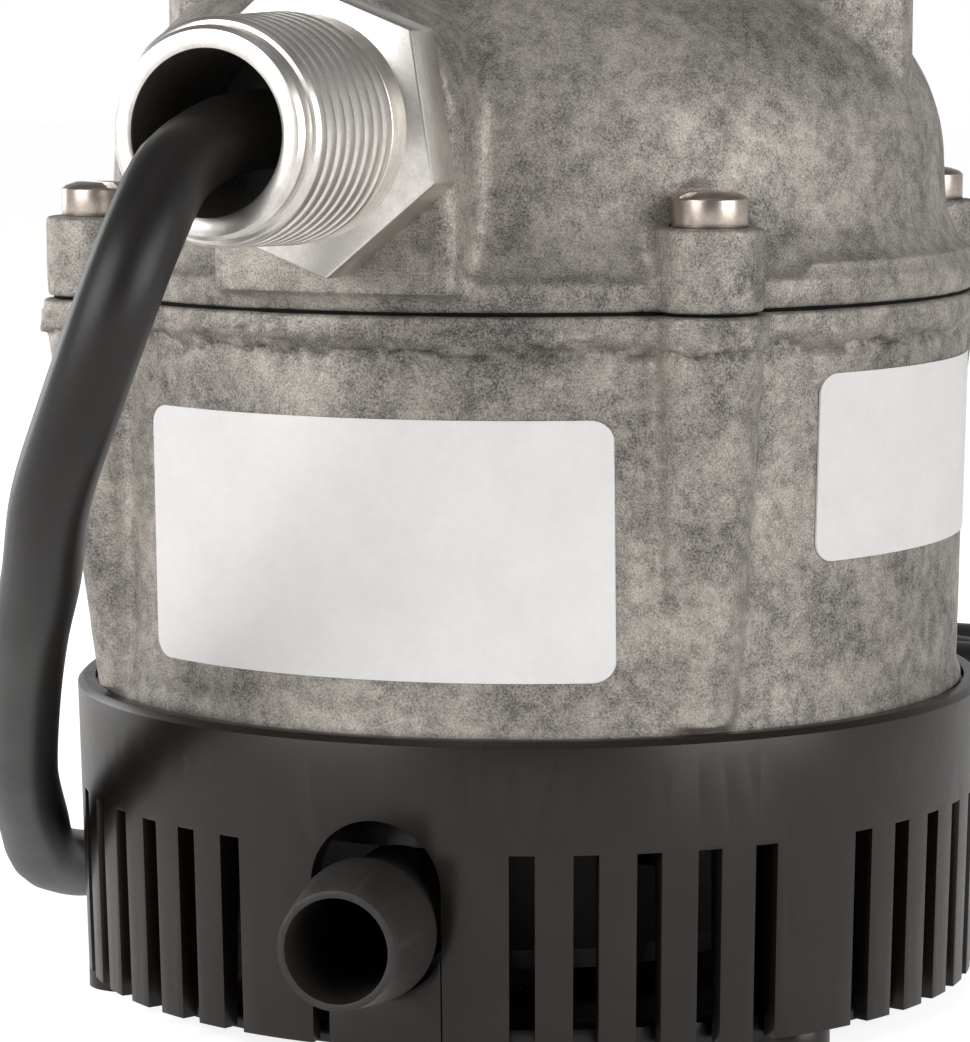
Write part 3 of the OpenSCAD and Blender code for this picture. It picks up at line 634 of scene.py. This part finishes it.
def spin_outline(
    shape: bmesh.types.BMesh, outline: list[tuple[float, float]], steps: int, axis: Vector
) -> list[bmesh.types.BMVert]:
    """Turns a closed outline round an axis into a closed skin.

    Args:
        shape: the mesh that gets it.
        outline: (radius, distance along the axis) points in millimetres.
        steps: faces round the axis.
        axis: the axis, through the origin.

    Returns:
        The new vertices.
    """
    before = set(shape.verts)
    out = X_AXIS if abs(axis.x) < 0.5 else Y_AXIS
    ring = [shape.verts.new((out * r + axis * y) * MM) for r, y in outline]
    edges = [shape.edges.new((ring[i - 1], ring[i])) for i in range(len(ring))]
    bmesh.ops.spin(
        shape, geom=ring + edges, axis=axis, cent=(0, 0, 0), angle=math.tau, steps=steps, use_merge=True
    )
    made = [v for v in shape.verts if v not in before]
    bmesh.ops.remove_doubles(shape, verts=made, dist=WELD_GAP / 2)
    made = [v for v in shape.verts if v not in before]
    faces = {f for v in made for f in v.link_faces}
    bmesh.ops.recalc_face_normals(shape, faces=list(faces))
    return made


# ---------------------------------------------------------------- castings


SCREW_AZIMUTHS = (45, 135, 225, 315)
CUTTER_STEPS = 48


def wave(where: Vector, height: float, width_mm: float) -> float:
    """Gives the height of a smooth random wave at a point.

    Args:
        where: the point in metres.
        height: how high the wave can rise or fall.
        width_mm: the size of one swell.

    Returns:
        The height, in the unit that it came in.
    """
    return height * noise.noise(where / (width_mm * MM))


@dataclass
class Casting:
    """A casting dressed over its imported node: inner corners get a fillet and outer edges a soft round.

    seats gives the radius of the screws' circle, the seats' height, and the radii of counterbore and hole;
    the cutter reaches drill_mm below a seat and clear_mm above it. ledge_mm is the height range where the
    halves of the mould met and left rough flash. parting_mm is the height of the face on the gasket and how
    far the bolts have drawn it in, which fades over lip_mm. scoops_mm is the height range where the wall is
    made whole above the screws, and the wall's radius. waves_mm lists the skin's waves, each as a height and
    a width. voxel_mm is the size of the skin's squares and most_faces its limit in triangles.
    """

    node: str
    fillet_mm: float
    voxel_mm: float = 0.4
    soften_passes: int = 2
    shade_angle: float = 50.0
    most_faces: int = 185000
    seats: tuple[float, float, float, float] | None = None
    ledge_mm: tuple[float, float] | None = None
    parting_mm: tuple[float, float] | None = None
    scoops_mm: tuple[float, float, float] | None = None
    waves_mm: tuple[tuple[float, float], ...] = ((0.04, 9.0), (0.02, 2.5))
    lip_mm: float = 0.6
    drill_mm: float = 12.0
    clear_mm: float = 3.6

    def build(self) -> bpy.types.Object:
        """Grows the node's surface, joins it, and draws it back, which rounds its inner corners.

        Returns:
            The dressed casting.
        """
        piece = link_piece(self.node + "_casting", merged_copy(self.node), "cast_aluminium", PUMP_BODY)
        self._remesh(piece)
        self._grow(piece, self.fillet_mm)
        self._remesh(piece)
        self._grow(piece, -self.fillet_mm)
        soften = piece.modifiers.new("soften", "SMOOTH")
        soften.factor, soften.iterations = 0.5, self.soften_passes
        bake_modifiers(piece)
        self._roughen(piece)
        if self.seats:
            self._cut_seats(piece)
        triangles = 2 * len(piece.data.polygons)
        if triangles > self.most_faces:
            thin = piece.modifiers.new("thin", "DECIMATE")
            thin.ratio = self.most_faces / triangles
            bake_modifiers(piece)
        smooth_by_angle(piece.data, self.shade_angle)
        piece.data.name = piece.name
        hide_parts(self.node)
        return piece

    def _remesh(self, piece: bpy.types.Object) -> None:
        """Turns the mesh to one even skin.

        Args:
            piece: the casting.
        """
        skin = piece.modifiers.new("skin", "REMESH")
        skin.mode, skin.voxel_size, skin.use_smooth_shade = "VOXEL", self.voxel_mm * MM, True
        bake_modifiers(piece)

    def _fill_scoops(self, points: np.ndarray) -> None:
        """Fills the shallow scoops that the seats' spot facer left in the dome above the screws' heads.

        Args:
            points: the skin's points, which are moved in place.
        """
        deepest = 1.0
        across = np.hypot(points[:, 0], points[:, 1])
        height = points[:, 2] / MM
        low, high, wall = self.scoops_mm
        hit = (height > low) & (height < high) & (across > (wall - deepest) * MM) & (across < wall * MM)
        points[hit, :2] *= (wall * MM / across[hit])[:, None]

    def _grow(self, piece: bpy.types.Object, distance_mm: float) -> None:
        """Moves the skin along its normals.

        Args:
            piece: the casting.
            distance_mm: how far, and inwards if it is below zero.
        """
        points, normals = read_points(piece.data)
        write_points(piece.data, points + normals * distance_mm * MM)

    def _roughen(self, piece: bpy.types.Object) -> None:
        """Adds the slight waviness of a casting, and the rough flash of its ledge.

        Args:
            piece: the casting.
        """
        points, normals = read_points(piece.data)
        if self.scoops_mm:
            self._fill_scoops(points)
        lift = np.zeros(len(points))
        for i, point in enumerate(points):
            where = Vector(point)
            lift[i] = sum(wave(where, *size) for size in self.waves_mm)
            if self.ledge_mm and self.ledge_mm[0] - 1 < point[2] / MM < self.ledge_mm[1]:
                lift[i] += self._flash(where)
        moved = points + normals * (lift * MM)[:, None]
        if self.parting_mm:
            height, draw = self.parting_mm
            near = np.clip(1 - np.abs(moved[:, 2] / MM - height) / self.lip_mm, 0, 1)
            moved[:, 2] += near * draw * MM
        write_points(piece.data, moved)

    def _flash(self, where: Vector) -> float:
        """Gives the ragged flash under the flange: torn skin above a thin crack that wanders.

        Args:
            where: a point of the skin.

        Returns:
            The height in mm.
        """
        crack_depth, crack_half = 0.65, 0.5
        height = where.z / MM
        edge = self.ledge_mm[0] + wave(where, 0.9, 5.0) + wave(where, 0.4, 1.3)
        lift = -crack_depth * max(0.0, 1 - abs(height - edge) / crack_half)
        if height > edge and wave(where, 1.0, 7.0) > 0:
            lift += 0.2 + wave(where, 0.6, 1.9)
        return lift

    def _cut_seats(self, piece: bpy.types.Object) -> None:
        """Mills the four flat screw seats and drills their holes.

        Args:
            piece: the casting.
        """
        circle, height, seat_r, hole_r = self.seats
        shape = bmesh.new()
        for angle in SCREW_AZIMUTHS:
            lay = Matrix.Translation(at_azimuth(angle, circle, 0))
            bottom, top = height - self.drill_mm, height + self.clear_mm
            outline = [(0, bottom), (hole_r, bottom), (hole_r, height)]
            outline += [(seat_r, height), (seat_r, top), (0, top)]
            made = spin_outline(shape, outline, CUTTER_STEPS, Z_AXIS)
            bmesh.ops.transform(shape, matrix=lay, verts=made)
        cutter = link_object("seat_cutter", finished_mesh("seat_cutter", shape))
        cut = piece.modifiers.new("seats", "BOOLEAN")
        cut.operation, cut.solver, cut.object = "DIFFERENCE", "MANIFOLD", cutter
        bake_modifiers(piece)
        bpy.data.objects.remove(cutter)


# ---------------------------------------------------------------- plastic and small parts


@dataclass
class SoftEdged:
    """A rigid part whose edges get a small round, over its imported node.

    finish is given where the part's surface differs from its slot's usual one.
    """

    node: str
    slot: str
    width_mm: float
    finish: Finish | None = None
    bevel_angle: float = 28.0
    shade_angle: float = 32.0

    def build(self) -> bpy.types.Object:
        """Bevels the node's sharp edges.

        Returns:
            The dressed part.
        """
        mesh = merged_copy(self.node)
        shape = bmesh.new()
        shape.from_mesh(mesh)
        flat = math.radians(FLAT_DEGREES)
        bmesh.ops.dissolve_limit(shape, angle_limit=flat, verts=shape.verts, edges=shape.edges)
        shape.to_mesh(mesh)
        shape.free()
        piece = link_piece(self.node + "_part", mesh, self.slot, PUMP_BODY)
        if self.finish:
            mesh.materials[0] = self.finish.material()
        rounding = piece.modifiers.new("edges", "BEVEL")
        rounding.width, rounding.segments = self.width_mm * MM, 2
        rounding.limit_method, rounding.angle_limit = "ANGLE", math.radians(self.bevel_angle)
        rounding.use_clamp_overlap, rounding.harden_normals = True, False
        bake_modifiers(piece)
        smooth_by_angle(piece.data, self.shade_angle)
        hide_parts(self.node)
        return piece


# ---------------------------------------------------------------- threaded adapter


@dataclass
class ConduitAdapter:
    """The adapter: hexagon, plain collar, tapered thread and plain nose, all on one bore."""

    axis_z: float = 91.9
    face_y: float = 48.0
    bore_r: float = 7.5
    hex_flats: float = 25.0
    hex_turn: float = -21.0
    hex_t: float = 5.3
    collar_r: float = 10.7
    collar_t: float = 3.1
    thread_r: float = 10.9
    thread_l: float = 14.4
    pitch: float = 1.814
    depth: float = 0.42
    nose_l: float = 2.3
    nose_r: float = 9.4
    spigot_r: float = 9.9
    spigot_l: float = 9.2
    edge_round: float = 0.3
    taper: float = 32.0
    steps: int = 160

    def build(self) -> bpy.types.Object:
        """Makes the turned body and its hexagon, and puts both on the entry block.

        Returns:
            The dressed adapter.
        """
        shape = bmesh.new()
        self._hexagon(shape)
        self._turned_body(shape)
        bmesh.ops.recalc_face_normals(shape, faces=shape.faces)
        bmesh.ops.translate(shape, verts=shape.verts, vec=(0, 0, self.axis_z * MM))
        mesh = finished_mesh("conduit_adapter_turned", shape)
        smooth_by_angle(mesh, 30)
        piece = link_piece("conduit_adapter_turned", mesh, "machined_aluminium", PUMP_BODY)
        self._paint_bore_shade(mesh)
        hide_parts("conduit_adapter")
        return piece

    def _turned_body(self, shape: bmesh.types.BMesh) -> None:
        """Spins the outline of spigot, collar, thread and nose, then leads the crests round as a helix.

        Args:
            shape: the mesh that gets it.
        """
        collar_y = self.face_y + self.hex_t
        thread_y = collar_y + self.collar_t
        nose_y = thread_y + self.thread_l
        mouth_y = nose_y + self.nose_l
        back_y = self.face_y - self.spigot_l
        round_r = 0.25
        outline = [
            (self.bore_r, back_y),
            (self.spigot_r - 0.4, back_y),
            (self.spigot_r, back_y + 0.4),
            (self.spigot_r, collar_y - 0.2),
            (self.collar_r, collar_y - 0.2),
            (self.collar_r, thread_y - round_r),
            (self.collar_r - round_r, thread_y),
        ]
        outline += self._crests(thread_y, nose_y)
        outline += [
            (self.nose_r + 0.35, nose_y + 0.3),
            (self.nose_r + 0.3, mouth_y - 0.7),
            (self.nose_r - 0.1, mouth_y - 0.15),
            (self.nose_r - 0.6, mouth_y),
            (self.bore_r + 0.5, mouth_y),
            (self.bore_r + 0.15, mouth_y - 0.15),
            (self.bore_r, mouth_y - 0.5),
        ]
        spin_outline(shape, outline, self.steps, -Y_AXIS)
        self._twist_thread(shape, thread_y, nose_y)

    def _crests(self, start: float, end: float) -> list[tuple[float, float]]:
        """Outline points of the thread, five for each turn: a root, then a flat crest between two shoulders.

        Args:
            start: where the thread starts.
            end: where it runs out.

        Returns:
            The outline's points.
        """
        root, shoulder, flat, worn = 0.84, 0.66, 0.5, 0.05
        run_out = (0.12 - self.depth, 0.35)
        points = []
        y = start + 0.9
        while y < end - flat:
            crest = self.thread_r - (y - start) / self.taper
            points += [
                (crest - self.depth, y - root),
                (crest - worn, y - shoulder),
                (crest, y - flat),
                (crest, y + flat),
                (crest - worn, y + shoulder),
            ]
            y += self.pitch
        points.append((points[-1][0] + run_out[0], points[-1][1] + run_out[1]))
        return points

    def _twist_thread(self, shape: bmesh.types.BMesh, start: float, end: float) -> None:
        """Shifts each thread point along the axis by its share of a turn, fading at both ends.

        Args:
            shape: the turned body.
            start: where the thread starts.
            end: where it runs out.
        """
        slack, bore_wall, lead = 0.1, 0.3, 0.9
        for vert in shape.verts:
            y = -vert.co.y / MM
            if not start + slack < y < end + slack:
                continue
            if math.hypot(vert.co.x, vert.co.z) < (self.bore_r + bore_wall) * MM:
                continue
            fade = min(1, (y - start) / self.pitch, (end + slack - y) / self.pitch)
            share = math.atan2(vert.co.z, vert.co.x) / math.tau
            vert.co.y -= share * self.pitch * max(0, fade) * MM * lead

    def _paint_bore_shade(self, mesh: bpy.types.Mesh) -> None:
        """Paints the bore's wall, up to its lip, with the near-black resin finish: painted shade for the
        dark inside of the bore.

        Args:
            mesh: the finished adapter.
        """
        bare_lip, slack = 0.6, 0.1
        mesh.materials.append(RESIN_AND_BORE_SHADE.material())
        lip = -(self.face_y + self.hex_t + self.collar_t + self.thread_l + self.nose_l - bare_lip)
        inside = self.bore_r + slack
        for face in mesh.polygons:
            corners = [mesh.vertices[i].co / MM for i in face.vertices]
            if all(c.y > lip and math.hypot(c.x, c.z - self.axis_z) < inside for c in corners):
                face.material_index = 1

    def _hexagon(self, shape: bmesh.types.BMesh) -> None:
        """Makes the hexagon, with rounded edges, against the entry block.

        Args:
            shape: the mesh that gets it, still empty.
        """
        made = bmesh.ops.create_circle(
            shape, cap_ends=True, radius=self.hex_flats / math.sqrt(3) * MM, segments=6
        )
        turn = Matrix.Rotation(math.radians(self.hex_turn - 90), 3, "Z")
        bmesh.ops.rotate(shape, verts=shape.verts, cent=(0, 0, 0), matrix=turn)
        raised = bmesh.ops.extrude_face_region(shape, geom=list(made["verts"][0].link_faces))
        top = [v for v in raised["geom"] if isinstance(v, bmesh.types.BMVert)]
        bmesh.ops.translate(shape, verts=top, vec=(0, 0, self.hex_t * MM))
        bmesh.ops.bevel(
            shape,
            geom=list(shape.edges),
            offset=self.edge_round * MM,
            offset_type="OFFSET",
            segments=2,
            profile=0.5,
            affect="EDGES",
            material=-1,
        )
        lay = Matrix.Translation((0, -self.face_y * MM, 0)) @ Matrix.Rotation(math.radians(90), 4, "X")
        bmesh.ops.transform(shape, matrix=lay, verts=shape.verts)


# ---------------------------------------------------------------- cord and plug


def smooth_line(points: list[tuple[float, float, float]], spacing: float) -> list[Vector]:
    """A smooth line through points, as Catmull-Rom pieces cut to an even spacing.

    Args:
        points: route points in millimetres.
        spacing: the distance between the line's points in millimetres.

    Returns:
        The line's points in metres.
    """
    known = [Vector(p) for p in points]
    known = [2 * known[0] - known[1], *known, 2 * known[-1] - known[-2]]
    fine = []
    for a, b, c, d in zip(known, known[1:], known[2:], known[3:]):
        parts = max(2, round((c - b).length / spacing))
        for k in range(parts):
            t = k / parts
            square, cube = (2 * a - 5 * b + 4 * c - d) * t**2, (3 * b - a - 3 * c + d) * t**3
            fine.append(0.5 * (2 * b + (c - a) * t + square + cube))
    fine.append(known[-2])
    return [p * MM for p in fine]


@dataclass
class PowerCord:
    """The supply cord: out of the adapter, down and round the base, then coiled behind, with its plug."""

    diameter: float = 7.4
    coil_at: tuple[float, float] = (-24.0, 112.0)
    start_r: float = 54.0
    pitch: float = 8.2
    layer: float = 8.2
    low_z: float = 3.8
    turns_low: float = 2.25
    climb: float = 0.5
    turns_top: float = 2.5
    steps_per_turn: int = 24
    spacing: float = 2.2
    roundness: int = 6
    route: list[tuple[float, float, float]] = field(
        default_factory=lambda: [
            (0, -56.2, 91.9),
            (0, -64, 91.9),
            (0, -70.6, 91.3),
            (-0.7, -77.7, 88.7),
            (-0.5, -84, 83.4),
            (-1.8, -87, 77),
            (-6, -86, 68),
            (-11.5, -81.5, 59.5),
            (-17, -74, 51),
            (-23, -66, 44),
            (-30.5, -54.5, 35.5),
            (-38.5, -41, 26),
            (-44.5, -28.5, 18.5),
            (-50.5, -15.5, 12),
            (-55, 1, 7.5),
            (-59.5, 18, 5),
            (-64.5, 37, 4),
            (-70, 56, 3.8),
            (-74.5, 73, 3.8),
            (-77, 88, 3.8),
            (-78, 97, 3.8),
            (-78, 104.6, 3.8),
        ]
    )
    tail: list[tuple[float, float, float]] = field(
        default_factory=lambda: [
            (-16.6, 168.05, 12),
            (-6.6, 165.9, 12.2),
            (10.9, 156.6, 13.6),
            (24.2, 142.1, 16.4),
            (31.4, 123.8, 19.2),
            (30.5, 104.4, 20.6),
            (21.9, 87.6, 21.6),
            (13.5, 77.5, 23.8),
            (3.8, 70.5, 26.2),
            (-4.4, 68, 27.6),
            (-12, 68, 27.8),
        ]
    )

    def coil_points(self) -> list[tuple[float, float, float]]:
        """The coil's route: a spiral in, a climb of one layer, and a spiral out on top.

        Returns:
            Points in millimetres.
        """
        turns = self.turns_low + self.climb + self.turns_top
        back = self.turns_low + self.climb / 2
        steps = round(turns * self.steps_per_turn)
        points = []
        for k in range(steps + 1):
            t = k / self.steps_per_turn
            radius = self.start_r - self.pitch * (t if t < back else 2 * back - t)
            height = self.low_z + self.layer * min(1, max(0, (t - self.turns_low) / self.climb))
            angle = math.radians(180 - 360 * t)
            x, y = radius * math.cos(angle), radius * math.sin(angle)
            points.append((self.coil_at[0] + x, self.coil_at[1] + y, height))
        return points

    def build(self, plug: bpy.types.Object) -> bpy.types.Object:
        """Args:
            plug: the moulded plug on its end; not used.

        Returns:
            The cord.
        """
        line = smooth_line(self.route + self.coil_points() + self.tail, self.spacing)
        curve = bpy.data.curves.new("power_cord_jacket", "CURVE")
        curve.dimensions = "3D"
        curve.bevel_depth, curve.bevel_resolution = self.diameter / 2 * MM, self.roundness
        curve.use_fill_caps = True
        spline = curve.splines.new("POLY")
        spline.points.add(len(line) - 1)
        for point, place in zip(spline.points, line):
            point.co = (*place, 1)
        spline.use_smooth = True
        curve.materials.append(JACKET_RUBBER.material())
        cord = link_object("power_cord_jacket", curve)
        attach(cord, PUMP_BODY)
        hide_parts("power_cord", "cord_coil", "cord_tail")
        return cord


@dataclass
class Plug:
    """The moulded three-pin plug that lies on the coil, with its ribbed strain relief."""

    at: tuple[float, float, float] = (-12.0, 68.0, 27.8)
    half_wide: float = 14.0
    half_high: float = 12.0

    def build(self) -> bpy.types.Object:
        """Turns the outline, then presses its four sides flat.

        Returns:
            The plug's body.
        """
        rib_count, first_rib, rib_pitch, rib_r, rib_growth = 5, 2.0, 3.2, 4.9, 0.5
        ribs = []
        for k in range(rib_count):
            start, radius = first_rib + rib_pitch * k, rib_r + rib_growth * k
            ribs += [(radius, start), (radius + 0.1, start + 1.9), (radius - 0.9, start + 2.1)]
            ribs += [(radius - 0.8, start + 3.0)]
        outline = [(0, 0), (4.2, 0), (4.6, 0.4), (4.6, 1.6), *ribs]
        outline += [(7.4, 18.2), (7.8, 20), (9.2, 23.5), (11.4, 26.4), (13.6, 27.3), (14.4, 28.4)]
        outline += [(14.5, 31), (14.5, 46.2), (14.1, 47.4), (13.2, 48), (0, 48)]
        shape = bmesh.new()
        spin_outline(shape, outline, 64, -X_AXIS)
        wide, high = self.half_wide * MM, self.half_high * MM
        for vert in shape.verts:
            vert.co.y = max(-wide, min(wide, vert.co.y))
            vert.co.z = max(-high, min(high, vert.co.z))
        bmesh.ops.translate(shape, verts=shape.verts, vec=Vector(self.at) * MM)
        mesh = finished_mesh("plug_moulding", shape)
        smooth_by_angle(mesh, 35)
        piece = link_piece("plug_moulding", mesh, "cord_rubber", PUMP_BODY)
        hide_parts("plug_body")
        return piece


# ---------------------------------------------------------------- camera, light and floor


@dataclass
class Studio:
    """The camera, the lamps, the floor and the white surround."""

    azimuth: float = 23.4
    away_mm: float = 458.2
    height_mm: float = 103.2
    pitch: float = 6.76
    yaw: float = 0.585
    roll: float = -0.14
    lens: float = 150.2
    sensor: float = 36.0
    clip: tuple[float, float] = (0.01, 20.0)
    surround: float = 0.58
    dark_front: float = 0.06
    front_edge: tuple[float, float] = (0.72, 0.97)
    dark_above: float = 0.3
    above_edge: tuple[float, float] = (0.1, 0.75)
    floor_tone: str = "#e4e2e0"
    floor_glow: float = 0.8
    floor_sheen: float = 0.45
    floor_half: float = 3.0
    aim_z: float = 0.07

    def camera(self) -> bpy.types.Object:
        """Makes the camera.

        Returns:
            The camera, set as the scene's own.
        """
        data = bpy.data.cameras.new("camera")
        data.lens, data.sensor_width = self.lens, self.sensor
        data.clip_start, data.clip_end = self.clip
        camera = link_object("camera", data)
        camera.location = at_azimuth(self.azimuth, self.away_mm, self.height_mm)
        a = math.radians(self.azimuth)
        ahead, right = Vector((-math.sin(a), math.cos(a), 0)), Vector((math.cos(a), math.sin(a), 0))
        yaw, pitch = math.radians(self.yaw), math.radians(self.pitch)
        level = ahead * math.cos(yaw) - right * math.sin(yaw)
        look = level * math.cos(pitch) - Z_AXIS * math.sin(pitch)
        roll = Matrix.Rotation(math.radians(self.roll), 3, "Z")
        camera.rotation_euler = (look.to_track_quat("-Z", "Y").to_matrix() @ roll).to_euler()
        bpy.context.scene.camera = camera
        return camera

    def lamp(
        self, name: str, azimuth: float, height: float, away: float, size: float, watts: float
    ) -> None:
        """Adds a square soft box that looks at the pump.

        Args:
            name: the lamp's name.
            azimuth: its azimuth in degrees.
            height: its height in metres.
            away: its distance from the motor axis in metres.
            size: its side in metres.
            watts: its power.
        """
        data = bpy.data.lights.new(name, "AREA")
        data.shape, data.size, data.energy = "SQUARE", size, watts
        lamp = link_object(name, data)
        lamp.location = at_azimuth(azimuth, away / MM, height / MM)
        aim = Vector((0, 0, self.aim_z)) - lamp.location
        lamp.rotation_euler = aim.to_track_quat("-Z", "Y").to_euler()

    def world(self) -> None:
        """Makes the surround: white to the eye, but soft, dark ahead and dim above as a light."""
        world = bpy.data.worlds.new("surround")
        bpy.context.scene.world = world
        tree = fresh_tree(world)
        path = add_node(tree, "ShaderNodeLightPath", {}, {}).outputs
        seen = add_math(tree, "MAXIMUM", path["Is Camera Ray"], path["Is Transmission Ray"])
        way = add_node(tree, "ShaderNodeTexCoord", {}, {}).outputs["Generated"]
        front = add_node(
            tree,
            "ShaderNodeVectorMath",
            {"operation": "DOT_PRODUCT"},
            {0: way, 1: at_azimuth(self.azimuth, 1 / MM, 0)},
        )
        levels = (self.surround, self.dark_front)
        light = add_range(tree, front.outputs["Value"], self.front_edge, levels, "SMOOTHSTEP")
        height = add_node(tree, "ShaderNodeSeparateXYZ", {}, {0: way}).outputs["Z"]
        ceiling = add_range(tree, height, self.above_edge, (1.0, self.dark_above), "SMOOTHSTEP")
        dimmed = add_math(tree, "MULTIPLY", light, ceiling)
        strength = add_node(tree, "ShaderNodeMix", {"data_type": "FLOAT"}, {0: seen, 2: dimmed, 3: 1.0})
        sky = add_node(tree, "ShaderNodeBackground", {}, {0: WHITE, 1: strength.outputs[0]})
        add_node(tree, "ShaderNodeOutputWorld", {}, {0: sky.outputs[0]})

    def floor(self) -> bpy.types.Object:
        """Lays the pale floor, which is white to the eye but for a trace of contact shadow.

        Returns:
            The floor.
        """
        shape = bmesh.new()
        bmesh.ops.create_grid(shape, x_segments=2, y_segments=2, size=self.floor_half)
        mesh = finished_mesh("floor", shape)
        floor = link_object("floor", mesh)
        made = bpy.data.materials.new("studio_floor")
        tree = fresh_tree(made)
        matt = add_node(tree, "ShaderNodeBsdfDiffuse", {}, {0: linear(self.floor_tone)})
        path = add_node(tree, "ShaderNodeLightPath", {}, {}).outputs
        seen = add_math(tree, "MULTIPLY", path["Is Camera Ray"], self.floor_glow)
        amount = add_math(tree, "MULTIPLY_ADD", path["Is Glossy Ray"], self.floor_sheen, seen)
        glow = add_node(tree, "ShaderNodeEmission", {}, {0: WHITE, 1: amount})
        both = add_node(tree, "ShaderNodeAddShader", {}, {0: matt.outputs[0], 1: glow.outputs[0]})
        add_node(tree, "ShaderNodeOutputMaterial", {}, {0: both.outputs[0]})
        mesh.materials.append(made)
        return floor

    def build(self) -> None:
        """Sets up the whole studio."""
        bpy.context.scene.view_settings.view_transform = "Standard"
        self.camera()
        self.world()
        self.floor()
        self.lamp("left_box", azimuth=-26, height=0.34, away=0.75, size=0.6, watts=4.2)
        self.lamp("left_rim", azimuth=-105, height=0.16, away=0.6, size=0.3, watts=0.9)
        self.lamp("right_box", azimuth=76, height=0.14, away=0.8, size=0.6, watts=4.2)
        self.lamp("top_box", azimuth=20, height=1.1, away=0.25, size=0.7, watts=0.3)


def main() -> None:
    """Builds every piece, the camera and the cord first."""
    logging.basicConfig(level=logging.INFO, format="%(name)s: %(message)s")
    Studio().build()
    dress_frame()
    PowerCord().build(Plug().build())
    ConduitAdapter().build()
    Casting(
        "top_cover",
        fillet_mm=0.9,
        seats=(46.9, 82.2, 4.0, 2.15),
        parting_mm=(74.25, -0.13),
        scoops_mm=(85.9, 87.6, 43.38),
    ).build()
    Casting("motor_housing", fillet_mm=0.7, ledge_mm=(70.2, 72.6), parting_mm=(73.75, 0.13)).build()
    SoftEdged("strainer_ring", "black_plastic", width_mm=0.18).build()
    SoftEdged("base_plate", "black_plastic", width_mm=0.2).build()
    SoftEdged("volute_casing", "black_plastic", width_mm=0.25, finish=MATT_PLASTIC).build()
    SoftEdged("cover_screws", "stainless_steel", width_mm=0.15).build()


if __name__ == "__main__":
    main()
